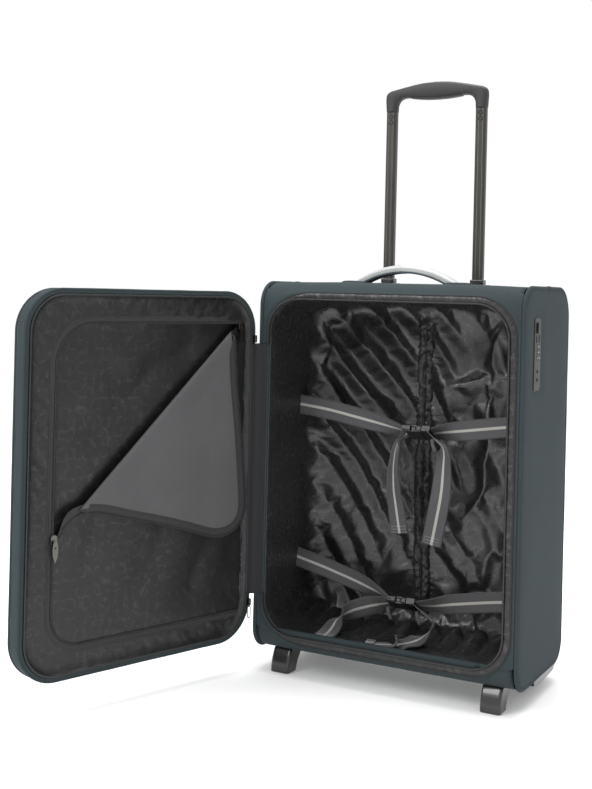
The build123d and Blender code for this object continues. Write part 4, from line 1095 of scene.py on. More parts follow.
def lining_walls(centre, half):
    """Lining of the compartment's four walls, slack on the floor and in the corners."""
    loop, normals, s = rect_outline(*centre, *half, LINING_CORNER, mm(3))
    depth = np.linspace(LINING_LOW.y + mm(3), LINING_HIGH.y - mm(1.5), 42)
    n, k = len(loop), len(depth)
    px = np.repeat(loop[None], k, 0)
    nn = np.repeat(normals[None], k, 0)
    yy = np.repeat(depth[:, None], n, 1)
    ss = np.repeat(s[None], k, 0)
    t = (yy - depth[0]) / (depth[-1] - depth[0])
    points = np.stack([px[..., 0], yy, px[..., 1]], -1)
    floor = np.maximum(-nn[..., 1], 0)
    corner = np.abs(nn[..., 0] * nn[..., 1]) * 2
    inward = mm(1.2) + mm(1.4) * bumps(points, 10, 2) * (0.4 + t)
    folds = ridge(ss / mm(34) + 0.6 * bumps(points, 12, 2)) * smooth_step(t, 0.15, 0.9)
    inward += (mm(2.0) + mm(8.0) * floor + mm(4) * corner) * folds
    inward += mm(5.0) * floor * bumps(points, 20, 3)
    inward = np.maximum(inward, mm(0.2))
    verts = points.copy()
    verts[..., 0] -= nn[..., 0] * inward
    verts[..., 2] -= nn[..., 1] * inward
    uvs = np.stack([ss, yy], -1).reshape(-1, 2)
    walls = make_object("lining_walls", verts.reshape(-1, 3), grid_faces(k, n, False, True), "lining_plain",
                        "main_body", ["body_lining"], uvs, slot="lining")
    walls.data.materials.append(MAT["lining"])
    for polygon in walls.data.polygons:
        polygon.material_index = int(abs(polygon.normal.z) > 0.45)
    return walls


def lining_rim(loop, normals, s):
    """Gathered rim of the walls' lining at the opening."""
    depths = [LINING_LOW.y - mm(1.0), LINING_LOW.y + mm(0.2), LINING_LOW.y + mm(2.5)]
    depths += list(np.linspace(LINING_LOW.y + mm(4.5), LINING_LOW.y + mm(13.5), 7))
    parts = []
    for row, y in enumerate(depths):
        flat = np.stack([s, np.full_like(s, y)], 1)
        pucker = mm(0.55) * bumps(flat * (1, 0.35), 330, 2) + mm(0.5) * bumps(flat, 60, 2)
        lift = mm(2.6) + pucker if 0 < row < len(depths) - 1 else mm(0.6) + 0 * pucker
        yy = y + mm(0.5) * bumps(flat, 130, 1) * (row > 2)
        parts.append(depth_path(loop - normals * lift[:, None], yy))
    uvs = np.stack([np.tile(s, len(depths)), np.repeat(depths, len(s))], 1)
    return make_object("lining_rim", np.concatenate(parts), grid_faces(len(depths), len(loop), False, True),
                       "lining_rim", "main_body", [], uvs, slot="lining")


def lining_flange(loop, normals, s):
    """Gathered strip that lies on the front border from one side of the hinge round to the other."""
    chosen = open_run(loop[:, 0] > mm(-150))
    count, fade = len(chosen), 40
    steps = np.arange(count)
    ends = smooth_step(steps, 0, fade) * smooth_step(-steps, -count + 1, -count + 1 + fade)
    rim, out_of = loop[chosen], normals[chosen]
    rows = 8
    flange = []
    for row, out in enumerate(np.linspace(-2.0, 7.0, rows)):
        flat = np.stack([s[chosen], np.full(count, mm(out))], 1)
        pucker = mm(0.5) * bumps(flat * (1, 0.4), 300, 2) + mm(0.45) * bumps(flat, 70, 2)
        bulge = mm(2.4) * math.sin(math.pi * (row + 0.6) / 8.2) ** 0.5
        y = FRONT - mm(0.1) - (bulge + pucker * (0 < row < 7)) * (0.4 + 0.6 * ends)
        reach = mm(out) * (0.15 + 0.85 * ends) if out > 0 else np.full(count, mm(out))
        flange.append(depth_path(rim + out_of * reach[:, None], y))
    uvs = np.stack([np.tile(s[chosen], rows), np.repeat(np.linspace(0, mm(9), rows), count)], 1)
    strip = make_object("lining_flange", np.concatenate(flange), grid_faces(rows, count), "lining_rim",
                        "main_body", [], uvs, slot="lining")
    face_towards(strip, (0, -1, 0))
    edge = flange[-1] + depth_path(out_of * mm(0.5), -mm(0.2))
    joined("flange_seam", [sweep_section(edge, circle_section(mm(0.8), 8))], "dark_thread", "main_body",
           slot="lining")


def build_lining_walls():
    """Lining of the compartment's walls, its gathered rim, and the strip and binding round the opening."""
    inset = mm(1.2)
    centre = (LINING_LOW.x + LINING_HIGH.x) / 2, (LINING_LOW.z + LINING_HIGH.z) / 2
    half = (LINING_HIGH.x - LINING_LOW.x) / 2 - inset, (LINING_HIGH.z - LINING_LOW.z) / 2 - inset
    walls = lining_walls(centre, half)
    loop, normals, s = rect_outline(*centre, *half, LINING_CORNER, mm(1.1))
    lining_flange(loop, normals, s)
    rim = lining_rim(loop, normals, s)
    edge_path = depth_path(loop - normals * mm(2.2), LINING_LOW.y - mm(0.6))
    edge_path[:, 1] += mm(0.3) * bumps(edge_path, 60, 2)
    binding = sweep_section(edge_path, circle_section(mm(0.75), 8), closed=True)
    joined("lining_binding", [binding], "binding", "main_body", slot="lining")
    for obj in (walls, rim):
        face = obj.data.polygons[0]
        to_middle = Vector((centre[0], 0, centre[1])) - face.center
        if face.normal.dot(Vector((to_middle.x, 0, to_middle.z))) < 0:
            obj.data.flip_normals()


def seam_line(z):
    """Where the back lining's middle seam lies across, at each height."""
    return SEAM_X + mm(2.2) * bumps(np.stack([z * 0, z], -1), 12, 2)


def build_seam():
    """Middle seam of the back lining: its gathered strip and its fine zip."""
    box_low, box_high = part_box("back_lining_zip")
    half = mm(12.5)
    z = np.arange(box_low.z, box_high.z, mm(1.6))
    u = np.linspace(-half, half, 19)
    zz, uu = np.meshgrid(z, u, indexing="ij")
    flat = np.stack([uu, zz], -1)
    edge = (uu / half) ** 2
    height = mm(7.6) + mm(3.6) * bumps(flat, 240, 3) * (1 - 0.3 * edge) + mm(2.4) * bumps(flat, 75, 2)
    height = height - mm(5.5) * edge ** 2 - mm(2.6) * np.exp(-((uu / mm(2.2)) ** 2))
    x = seam_line(zz) + uu * (1 + 0.12 * bumps(flat, 45, 2))
    verts = np.stack([x, box_high.y - mm(1.0) - height, zz], -1).reshape(-1, 3)
    strip = make_object("lining_seam", verts, grid_faces(len(z), len(u)), "lining_rim", "main_body",
                        ["back_lining_zip"], flat.reshape(-1, 2), slot="zip_tape")
    face_towards(strip, (0, -1, 0))
    z = np.arange(box_low.z + mm(4), box_high.z - mm(4), mm(1.5))
    path = np.stack([seam_line(z), np.full_like(z, box_high.y - mm(6.4)), z], 1)
    chain = zip_chain(path, (0, -1, 0), mm(2.6), mm(1.5), mm(1.0))
    joined("lining_seam_chain", [chain], "teeth", "main_body")


def tooth_shape(width, length, height):
    """One zip tooth: a small block with a rounded top. Width is across the chain."""
    w, l, h = width / 2, length / 2, height
    ring = [(-w, -l), (w, -l), (w, l), (-w, l)]
    verts = [(a, b, 0) for a, b in ring]
    verts += [(a, b * 0.95, h * 0.6) for a, b in ring]
    verts += [(a * 0.72, b * 0.5, h) for a, b in ring]
    faces = [(3, 2, 1, 0), (8, 9, 10, 11)]
    for level in (0, 4):
        for i in range(4):
            j = (i + 1) % 4
            faces.append((level + i, level + j, level + 4 + j, level + 4 + i))
    return np.array([(b, a, c) for a, b, c in verts]), [f[::-1] for f in faces]


def zip_chain(path, up, width, pitch, height):
    """Row of teeth along a path."""
    points, up = resample_with(path, up, pitch, False)
    tangents, normals, binormals = frames_along(points, False, up)
    return scatter(tooth_shape(width, pitch * 0.62, height), zip(points, tangents, binormals, normals))


build_wrap()
build_sides()
build_piping()
build_back_lining()
build_lining_walls()
build_seam()


# ---- Packing straps --------------------------------------------------------------------------


def spline(padded, count):
    """Smooth path from the second to the last but one of the points, with count steps between each two."""
    found = []
    for p0, p1, p2, p3 in zip(padded, padded[1:], padded[2:], padded[3:]):
        t = np.linspace(0, 1, count, endpoint=False)[:, None]
        found.append(
            0.5 * (2 * p1 + (p2 - p0) * t + (2 * p0 - 5 * p1 + 4 * p2 - p3) * t ** 2
                   + (3 * p1 - p0 - 3 * p2 + p3) * t ** 3)
        )
    return np.concatenate([*found, padded[-2:-1]])


def catmull(points, count):
    """Smooth path through all the points, with count steps between each two."""
    first, last = 2 * points[:1] - points[1:2], 2 * points[-1:] - points[-2:-1]
    return spline(np.concatenate([first, points, last]), count)


def curve_through(points, step=mm(2)):
    """Smooth path through points, at an even spacing. Columns past the third go along."""
    return resample(catmull(np.asarray(points, float), 14), step)


def sew_hem(name, place, across, normal, flat, mat, body, width):
    """Turned-back end of a ribbon, with three rows of stitches through it."""
    thickness = mm(1.3)
    last = len(place) - 1
    count = max(3, int(mm(13) / mm(2)))
    end = slice(last - count, last + 1)
    v = flat[end][..., 1:]
    second = place[end][:, None] + across[end][:, None] * v - normal[end][:, None] * mm(1.5)
    tail = make_object(name + "_hem", second.reshape(-1, 3), grid_faces(*v.shape[:2]), mat, body, [],
                       flat[end].reshape(-1, 2))
    thicken(tail, thickness, 0.0)
    threads = []
    reach = np.linspace(-width * 0.4, width * 0.4, 24)[:, None]
    for back in (1, 3, count - 1):
        row = place[last - back][None] + across[last - back][None] * reach
        for face in (-1, 1):
            lifted = row + normal[last - back][None] * face * (mm(2.35) if face < 0 else mm(0.85))
            threads.append(stitches(lifted, normal[last - back] * face, pitch=mm(2.6), length=mm(2.1),
                                    radius=mm(0.3)))
    joined(name + "_hem_stitches", threads, "pale_thread", body)


def ribbon(name, points, body, width=mm(27), mat="webbing", replaces=(), end_fold=False, wave=mm(0.5)):
    """Webbing along points (x, y, z, wx, wy, wz): a place in millimetres and the direction across there."""
    path = curve_through(np.array(points, float) * (0.001, 0.001, 0.001, 1, 1, 1))
    place, across = path[:, :3].copy(), path[:, 3:6]
    tangent = np.gradient(place, axis=0)
    tangent /= np.linalg.norm(tangent, axis=1)[:, None]
    across = across - (across * tangent).sum(1)[:, None] * tangent
    across /= np.linalg.norm(across, axis=1)[:, None]
    normal = np.cross(tangent, across)
    v = np.linspace(-width / 2, width / 2, 15)
    uu, vv = np.meshgrid(arc_lengths(place), v, indexing="ij")
    flat = np.stack([uu, vv], -1)
    seed = place[0].sum()
    lift = wave * bumps(np.concatenate([flat, np.full(flat.shape[:2] + (1,), seed)], -1), 28, 2)
    curl = mm(0.5) * (2 * vv / width) ** 2
    verts = place[:, None] + across[:, None] * vv[..., None] + normal[:, None] * (lift + curl)[..., None]
    obj = make_object(name, verts.reshape(-1, 3), grid_faces(len(place), len(v)), mat, body, replaces,
                      flat.reshape(-1, 2), slot="webbing")
    thicken(obj, mm(1.3), 0.0)
    if end_fold:
        sew_hem(name, place, across, normal, flat, mat, body, width)
    return obj


def twist(angle):
    """Direction across a level strap that is turned about X: 0 is upright."""
    return (0.0, -math.sin(math.radians(angle)), math.cos(math.radians(angle)))


def level(angle):
    """Direction across a hanging strap: 0 faces the front, seen from above."""
    return (math.cos(math.radians(angle)), math.sin(math.radians(angle)), 0.0)


def buckle_span(which):
    """Left end, right end and middle height of a buckle, in millimetres."""
    socket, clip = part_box(which + "_buckle_socket"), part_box(which + "_buckle_clip")
    return socket[0].x * 1000, clip[1].x * 1000, (socket[0].z + socket[1].z) / 2 * 1000


def build_straps():
    """Four packing straps from the walls to the buckles, and their loose ends. Places are in millimetres."""
    left_wall, right_wall = LINING_LOW.x * 1000 + 3.4, LINING_HIGH.x * 1000 - 3.4
    ux0, ux1, zu = buckle_span("upper")
    lx0, lx1, zl = buckle_span("lower")
    ribbon("strap_upper_left", [
        (left_wall, 0, 352, *twist(4)), (-120, -1, 346.5, *twist(2)), (-62, -1.5, 336.5, *twist(12)),
        (-28, 0, 330, *twist(38)), (ux0 + 4, 0, zu, *twist(60))], "main_body", replaces=["left_straps"])
    ribbon("strap_lower_left", [
        (left_wall, 0, 138, *twist(0)), (-118, -1.5, 127, *twist(2)), (-70, -2, 114.5, *twist(10)),
        (-40, -1, 104, *twist(36)), (lx0 + 4, 0, zl, *twist(60))], "main_body")
    ribbon("strap_upper_left_tail", [
        (ux0 + 5, -4, zu + 0.5, *twist(62)), (ux0 - 1, -7, zu - 7, 0.25, -0.85, 0.4),
        (-16, -8, 308, *level(-52)), (-20, -9, 284, *level(-42)), (-19.5, -9, 252, *level(-26)),
        (-15, -8, 220, *level(-14)), (-10.5, -7, 189, *level(-8))], "main_body", end_fold=True, wave=mm(1.0))
    ribbon("strap_lower_left_tail", [
        (lx0 + 5, -4, zl + 0.5, *twist(60)), (-34, -8, 92, *twist(35)), (-52, -14, 87, 0.1, -0.15, 1.0),
        (-72, -24, 80, 0.35, -0.05, 1.0), (-84, -36, 71, 0.85, -0.05, 0.6), (-87, -48, 61.5, 1.0, 0.1, 0.15),
        (-86, -62, 58, 1.0, 0.1, 0.0), (-84, -84, 57.5, 1.0, 0.05, 0.0)], "main_body", end_fold=True,
        wave=mm(0.8))
    upper = ribbon("strap_upper_right", [
        (ux1 - 4, 0, zu, *twist(60)), (48, 0, 328.5, *twist(36)), (76, -1, 332.5, *twist(10)),
        (118, -1, 339, *twist(0)), (right_wall, 0, 345.5, *twist(-3))], None)
    lower = ribbon("strap_lower_right", [
        (lx1 - 4, 0, zl, *twist(60)), (36, 0, 97.5, *twist(40)), (66, -1, 104, *twist(10)),
        (116, -1, 113.5, *twist(0)), (right_wall, 0, 121, *twist(-2))], None)
    for obj, body, x, node, z in ((upper, "upper_clip", ux1, "upper_right_strap", zu),
                                  (lower, "lower_clip", lx1, "lower_right_strap", zl)):
        apply_modifiers(obj)
        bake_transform(obj)
        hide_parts(node)
    ribbon("strap_upper_right_tail", [
        (ux1 - 5, -4, zu + 0.5, *twist(62)), (ux1 + 4, -7.5, zu - 5, 0.2, -0.9, 0.3),
        (50, -9, 308, *level(-44)), (51, -10, 282, *level(-18)), (48.5, -10, 248, *level(6)),
        (42, -9, 212, *level(14)), (35.5, -8, 179, *level(10))], "upper_clip",
        replaces=["upper_right_tail"], end_fold=True, wave=mm(0.8))
    ribbon("strap_lower_right_tail", [
        (lx1 - 5, -4, zl + 0.5, *twist(60)), (lx1 + 6, -8, zl - 4, 0.3, -0.9, 0.35),
        (43, -14, 80, 0.25, -0.85, 0.5), (40, -24, 68, 0.45, -0.6, 0.35), (30, -42, 60, 0.75, 0.6, 0.1),
        (14, -62, 57.8, 0.8, 0.7, 0.0), (-4, -74, 57.5, 0.5, 0.9, 0.0), (-24, -79, 57.8, 0.3, 0.95, 0.0)],
        "lower_clip", mm(24), "webbing_narrow", ["lower_right_tail"], end_fold=True, wave=mm(0.8))


def apply_modifiers(obj):
    """Replaces an object's mesh by what its modifiers make of it."""
    graph = bpy.context.evaluated_depsgraph_get()
    mesh = bpy.data.meshes.new_from_object(obj.evaluated_get(graph), preserve_all_data_layers=True,
                                           depsgraph=graph)
    obj.modifiers.clear()
    obj.data = mesh


# ---- Zips ------------------------------------------------------------------------------------
def lid_loop(inset):
    """Outline of the lid moved in by the inset, from one end of the hinge strip round to the other."""
    cx, cz, hx, hz, radius = LID_PANEL
    points, normals, _ = rect_outline(cx, cz, hx - inset, hz - inset, radius - inset, mm(2))
    out = (points[:, 0] < mm(-150)) & (points[:, 1] > STRIP_LOW.z) & (points[:, 1] < STRIP_HIGH.z)
    run = open_run(~out)
    return points[run], normals[run]


def zip_half(name, y_front, away, body, node, lid):
    """Half of the main zip: its tape on edge and its teeth."""
    points, normals = lid_loop(mm(6.3))
    tape_rows = []
    for dy, inset in ((0.6, 0.0), (2.2, 0.1), (4.5, 0.3), (7.8, 0.4)):
        row = depth_path(points - normals * mm(inset), y_front + away * mm(dy))
        row[:, [0, 2]] += normals * (mm(0.25) * bumps(row[:, [0, 2]], 90, 2))[:, None]
        tape_rows.append(row)
    verts = np.concatenate(tape_rows)
    s = arc_lengths(points)
    uvs = np.stack([np.tile(s, 4), np.repeat([0, mm(1.6), mm(3.9), mm(7.2)], len(s))], 1)
    chain_path = depth_path(points, y_front + away * mm(0.7))
    chain = zip_chain(chain_path, (0, -away, 0), mm(2.6), mm(2.0), mm(0.88))
    cord_path = depth_path(points, y_front + away * mm(1.2))
    cord = sweep_section(resample(cord_path, mm(4)), circle_section(mm(1.1), 8))
    if lid:
        verts = to_lid(verts)
        chain = (to_lid(chain[0]), chain[1], chain[2])
        cord = (to_lid(cord[0]), cord[1], cord[2])
    tape = make_object(name + "_tape", verts, grid_faces(4, len(points)), "tape", body, [node], uvs,
                       slot="zip_tape")
    thicken(tape, TAPE_THICK, 0.0)
    joined(name + "_teeth", [chain, cord], "teeth", body, slot="zip_tape")


def build_zips():
    """The two halves of the main zip."""
    zip_half("main_zip_body", HINGE.y + mm(0.3), 1, "main_body", "body_zip", False)
    zip_half("main_zip_lid", HINGE.y - mm(0.3), -1, "lid", "lid_zip", True)


def build_hinge_fabric():
    """Fabric that joins the lid to the body, folded at the hinge for the open lid."""
    body_side = [(mm(-171.5), mm(-93.3)), (mm(-175.5), mm(-93.9)), (mm(-179.6), mm(-95.4))]
    lid_side = [to_lid([(mm(-176.0), mm(-99.5), 0)])[0], to_lid([(mm(-171.5), mm(-99.6), 0)])[0]]
    fold = [(HINGE.x - mm(0.6), HINGE.y - mm(0.2))]
    path = np.array([*body_side, *fold, *[p[:2] for p in lid_side]])
    path = np.concatenate([path, np.zeros((len(path), 1))], 1)
    smooth = curve_through(path, mm(1.1))
    z = np.linspace(STRIP_LOW.z - mm(2), STRIP_HIGH.z + mm(2), 150)
    grid = np.repeat(smooth[None], len(z), 0)
    grid[..., 2] = z[:, None]
    across = np.linspace(0, 1, len(smooth))
    pucker = np.sin(across * math.pi)[None]
    wave = bumps(np.stack([np.broadcast_to(across * 0.02, grid.shape[:2]), grid[..., 2]], -1), 60, 3)
    pleat = np.sin(across * 3 * math.pi)[None] ** 2
    grid[..., 0] += mm(0.55) * wave * pucker
    grid[..., 1] -= mm(0.55) * wave * pucker + mm(0.9) * pleat * pucker
    uvs = np.stack([np.broadcast_to(across * mm(17), grid.shape[:2]), grid[..., 2]], -1)
    obj = make_object("hinge_fabric", grid.reshape(-1, 3), grid_faces(len(z), len(smooth)), "tape", None, [],
                      uvs.reshape(-1, 2))
    thicken(obj, TAPE_THICK, 0.0)
    apply_modifiers(obj)
    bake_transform(obj)
    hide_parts("hinge_strip")


# ---- Carry handle ----------------------------------------------------------------------------
def build_carry_handle():
    """Moulded silver top on a padded fabric loop, with the fabric ends sewn to the body."""
    low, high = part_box("carry_handle_grip")
    y = (low.y + high.y) / 2
    half, top, base = high.x, high.z, HIGH - mm(1.5)
    rise = top - base
    radius = (half ** 2 + rise ** 2) / (2 * rise)
    sweep = math.asin(half / radius)
    t = np.linspace(-1, 1, 90)

    def arch(inset):
        r = radius - inset
        return np.stack([r * np.sin(t * sweep), np.full_like(t, y), top - radius + r * np.cos(t * sweep)], 1)

    def section(width, thick, crown):
        u = np.linspace(-1, 1, 13)
        upper = [(crown * (1 - a * a) - 0.25 * thick * abs(a) ** 6, a * width / 2) for a in u]
        lower = [(-thick, a * width / 2 * 0.94) for a in u[::-1]]
        return np.array(upper + lower)

    up = np.stack([np.sin(t * sweep), 0 * t, np.cos(t * sweep)], 1)
    taper = 1 - 0.35 * smooth_step(np.abs(t), 0.72, 1.0)
    verts, faces, uvs = sweep_section(arch(mm(1.9)), section(mm(22.5), mm(7.4), mm(1.8)), up=up, scale=taper)
    grip = make_object("carry_silver", verts, faces, "silver", "main_body", ["carry_handle_grip"], uvs,
                       slot="carry_silver")
    round_edges(grip, mm(2.2), 4, 40)
    verts, faces, uvs = sweep_section(arch(mm(8.6)), section(mm(21), mm(2.8), mm(0.9)), up=up)
    verts[:, 2] += mm(0.12) * bumps(verts, 120, 2)
    under = make_object("carry_loop", verts, faces, "silver_under", "main_body", ["carry_handle_strap"], uvs,
                        slot="outer_fabric")
    round_edges(under, mm(1.1), 3, 40)
    threads = []
    for edge in (-1, 1):
        path = arch(mm(10.6))
        path[:, 1] = y + edge * mm(10.2)
        threads.append(stitches(path[12:-12], up[12:-12]))
    patch_parts = []
    for side in (-1, 1):
        x0 = side * (half - mm(9))
        half_x, half_y = mm(15), mm(14.5)
        u = np.linspace(-1, 1, 15)
        xs, ys = np.meshgrid(x0 + u * half_x, y + u * half_y, indexing="ij")
        edge = np.maximum(np.abs(xs - x0) / half_x, np.abs(ys - y) / half_y)
        zs = HIGH + mm(2.9) - mm(2.4) * edge ** 8 + mm(0.25) * bumps(np.stack([xs, ys], -1), 90, 2)
        patch_parts.append((np.stack([xs, ys, zs], -1).reshape(-1, 3), grid_faces(15, 15),
                            np.stack([xs, ys], -1).reshape(-1, 2)))
        ring = [(x0 + a * mm(12.2), y + b * mm(11.8), HIGH + mm(3.0)) for a, b in
                ((-1, -1), (1, -1), (1, 1), (-1, 1))]
        threads.append(stitches(resample(np.array(ring), mm(3), True), (0, 0, 1), closed=True))
    thicken(joined("carry_ends", patch_parts, "outer", "main_body", slot="outer_fabric"), mm(2.0))
    joined("carry_stitches", threads, "thread", "main_body")


# ---- Trolley grip ----------------------------------------------------------------------------
def build_grip():
    """Soft-touch grip: two sleeves that turn into a crowned bar, between an outer and an inner outline."""
    low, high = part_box("handle_grip")
    post_x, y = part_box("grip_rivets")[1].x - mm(2), (low.y + high.y) / 2
    top, bottom = high.z, low.z
    # Points beside the post, then points along the bar: how far out, and how far below the top
    outer = [(post_x + mm(7.9), bottom)]
    outer += [(post_x + mm(dx), top - mm(dz)) for dx, dz in ((8.6, 30), (9.0, 20), (7.4, 14), (2, 10.3))]
    outer += [(mm(x), top - mm(dz)) for x, dz in ((57, 7.9), (43, 5.0), (22, 1.4), (0, 0))]
    inner = [(post_x - mm(7.9), bottom)]
    inner += [(post_x - mm(dx), top - mm(dz))
              for dx, dz in ((8.1, 35), (8.6, 31), (11, 25.8), (15, 22.4), (21, 20.8))]
    inner += [(mm(x), top - mm(dz)) for x, dz in ((34, 21.0), (19, 22.3), (0, 23))]
    outer, inner = (catmull(np.array(side), 8) for side in (outer, inner))
    outer, inner = (np.concatenate([side * (-1, 1), side[-2::-1]]) for side in (outer, inner))
    middle, half = (outer + inner) / 2, (outer - inner) / 2
    depth = (high.y - low.y) / 2 * (0.97 - 0.05 * smooth_step(np.abs(middle[:, 0]) / post_x, 0.7, 1.0))
    sides = 40
    around = np.linspace(0, 2 * math.pi, sides, endpoint=False)
    power = 2 / 2.8  # a section between an ellipse and a rectangle
    c = np.sign(np.cos(around)) * np.abs(np.cos(around)) ** power
    d = np.sign(np.sin(around)) * np.abs(np.sin(around)) ** power
    flat = middle[:, None] + half[:, None] * d[None, :, None]
    verts = np.stack([flat[..., 0], y + depth[:, None] * c[None], flat[..., 1]], -1)
    verts[..., 0] = np.clip(verts[..., 0], low.x, high.x)
    verts[..., 2] = np.clip(verts[..., 2], low.z, high.z)
    count = len(middle)
    faces = grid_faces(count, sides, False, True)
    faces += [tuple(range(sides))[::-1], tuple(range((count - 1) * sides, count * sides))]
    uvs = np.stack([np.repeat(arc_lengths(middle), sides), np.tile(around * mm(11), count)], 1)
    obj = make_object("grip_moulding", verts.reshape(-1, 3), faces, "grip", "upper_stage", ["handle_grip"],
                      uvs, slot="grip_plastic")
    fix_normals(obj)
    round_edges(obj, mm(0.8), 2, 60)


# ---- Moulded parts kept from the CAD frame ---------------------------------------------------
def softened(node, voxel, rounds):
    """Rounds a moulded CAD node's edges over, as a mould does."""
    obj = NODES[node]
    remesh = obj.modifiers.new("skin", "REMESH")
    remesh.mode = "VOXEL"
    remesh.voxel_size = voxel
    remesh.use_smooth_shade = True
    smooth = obj.modifiers.new("smooth", "SMOOTH")
    smooth.iterations = rounds
    smooth.factor = 0.5


def finish_cad():
    """Rounded edges on the hard parts that stay on show."""
    softened("feet", mm(0.8), 5)
    softened("release_bar", mm(0.6), 4)
    for node, width in (("wheel_housings", 0.8), ("handle_bezels", 0.5), ("lock_housing", 0.35),
                        ("mid_collars", 0.4), ("upper_buckle_socket", 0.5), ("lower_buckle_socket", 0.5),
                        ("upper_buckle_clip", 0.4), ("lower_buckle_clip", 0.4), ("lock_button", 0.4),
                        ("tube_base_bracket", 0.8), ("pocket_slider_left", 0.5), ("parked_sliders", 0.5),
                        ("pocket_pull_left", 0.3), ("pocket_pull_top", 0.3), ("outer_pocket_pull", 0.3)):
        bevelled(node, mm(width), 3 if width > 0.45 else 2)


build_straps()
build_zips()
build_hinge_fabric()
build_carry_handle()
build_grip()
finish_cad()


# ---- Lid, drawn shut and then moved to where the open lid stands ---------------------------------
WINDOW_LOW, WINDOW_HIGH = (mm(-160), mm(84)), (mm(127), mm(466))
WINDOW_CORNERS = [WINDOW_LOW, (WINDOW_HIGH[0], WINDOW_LOW[1]), WINDOW_HIGH, (WINDOW_LOW[0], WINDOW_HIGH[1])]
FOLD_TOP, FOLD_LOW = np.array([mm(-139), mm(455)]), np.array([mm(122), mm(213)])


def lid_piece(name, verts, faces, mat, replaces=(), uvs=None, slot=None, facing=None):
    """Mesh piece of the lid from points of the shut lid; its skin faces along Y as asked."""
    verts = to_lid(np.asarray(verts, float).reshape(-1, 3))
    uvs = None if uvs is None else np.asarray(uvs, float).reshape(-1, 2)
    obj = make_object(name, verts, faces, mat, "lid", list(replaces), uvs, slot=slot)
    if facing is not None:
        face_towards(obj, to_lid([(0, facing, 0)])[0] - to_lid([(0, 0, 0)])[0])
    return obj


def lid_joined(name, parts, mat, replaces=(), slot=None):
    """One piece of the lid made of (verts, faces, uvs) parts."""
    verts, faces, uvs = join_parts(parts)
    return lid_piece(name, verts, faces, mat, replaces, uvs, slot)


def radius_at(loop, centre, angles):
    """Distance from the centre to a closed outline, in the given directions."""
    offset = loop - centre
    angle = np.arctan2(offset[:, 1], offset[:, 0])
    order = np.argsort(angle)
    angle, reach = angle[order], np.linalg.norm(offset, axis=1)[order]
    angle = np.concatenate([angle[-1:] - 2 * math.pi, angle, angle[:1] + 2 * math.pi])
    reach = np.concatenate([reach[-1:], reach, reach[:1]])
    return np.interp(angles, angle, reach)


def lid_corners(inset):
    """Lowest and highest corner of the lid's outline moved in by the inset."""
    cx, cz, hx, hz, _ = LID_PANEL
    return (cx - hx + inset, cz - hz + inset), (cx + hx - inset, cz + hz - inset)


def build_lid_shell():
    """Outer fabric of the lid: its inner lip, its edge band and its front panel."""
    cx, cz, hx, hz, radius = LID_PANEL
    loop, normals, s = rect_outline(cx, cz, hx, hz, radius, mm(3))
    lip, depth = mm(5.5), LID_BACK_Y - LID_FRONT_Y
    rows = [(lip, -mm(1.2)), (lip - mm(0.6), 0), (mm(3.4), 0), (mm(1.5), -mm(0.3)), (mm(0.2), -mm(1.2))]
    rows += [(-mm(0.9) * math.sin(math.pi * t), -mm(2) - t * (depth - mm(4))) for t in np.linspace(0, 1, 9)]
    rows += [(mm(0.4), -depth + mm(1.0)), (mm(2.2), -depth - mm(0.1)), (mm(5), -depth - mm(0.5))]
    rows.append((mm(12), -depth))
    parts, uvs, travelled = [], [], 0.0
    for row, (inset, drop) in enumerate(rows):
        if row:
            travelled += math.hypot(inset - rows[row - 1][0], drop - rows[row - 1][1])
        flat = np.stack([s, np.full_like(s, travelled)], 1)
        soft = mm(0.35) * bumps(flat, 30, 3) + mm(0.18) * bumps(flat * (1, 0.3), 160, 2)
        points = loop - normals * (inset - soft * (3 < row < len(rows) - 1))[:, None]
        parts.append(depth_path(points, LID_BACK_Y + drop))
        uvs.append(flat)
    faces = grid_faces(len(rows), len(loop), False, True)
    edge = lid_piece("lid_edge", np.concatenate(parts), faces, "outer", ["lid_outer_panel"],
                     np.concatenate(uvs), "outer_fabric")
    fix_outward(edge, to_lid([(cx, (LID_BACK_Y + LID_FRONT_Y) / 2, cz)])[0])
    inset = mm(11)
    low, high = lid_corners(inset)
    flat, faces, inside = patch((low, high), [radius - inset] * 4, mm(5))
    bulge = mm(0.7) * smooth_step(inside, 0, mm(40)) + mm(0.5) * bumps(flat, 9, 2)
    y = LID_FRONT_Y - bulge * smooth_step(inside, 0, mm(8)) - mm(0.05)
    lid_piece("lid_front", depth_path(flat, y), faces, "outer", (), flat, "outer_fabric", -1)


def fix_outward(obj, centre):
    """Turns a ring-like skin to face away from the centre."""
    face = max(obj.data.polygons, key=lambda p: (p.center - Vector(centre)).length)
    if face.normal.dot(face.center - Vector(centre)) < 0:
        obj.data.flip_normals()


def build_lid_piping():
    """Fabric piping round the lid, with the stitches beside it."""
    cx, cz, hx, hz, radius = LID_PANEL
    parts, threads = [], []
    for inset, y, size, edge in ((0.9, LID_FRONT_Y + mm(0.9), 2.3, -1), (0.1, LID_BACK_Y - mm(2.0), 1.9, 1)):
        loop, normals, s = rect_outline(cx, cz, hx - mm(inset), hz - mm(inset), radius - mm(inset), mm(2.5))
        loop = loop + normals * (mm(0.25) * bumps(np.stack([s, s * 0 + y], 1), 25, 2))[:, None]
        out = depth_path(normals, 0.0)
        parts.append(sweep_section(depth_path(loop, y), circle_section(mm(size), 12), closed=True, up=out))
        seam = depth_path(loop + normals * mm(0.7 + inset), y - edge * mm(4.6))
        threads.append(stitches(seam, out, closed=True))
    lid_joined("lid_bead", parts, "piping", ["lid_piping"], "outer_fabric")
    lid_joined("lid_stitches", threads, "thread")


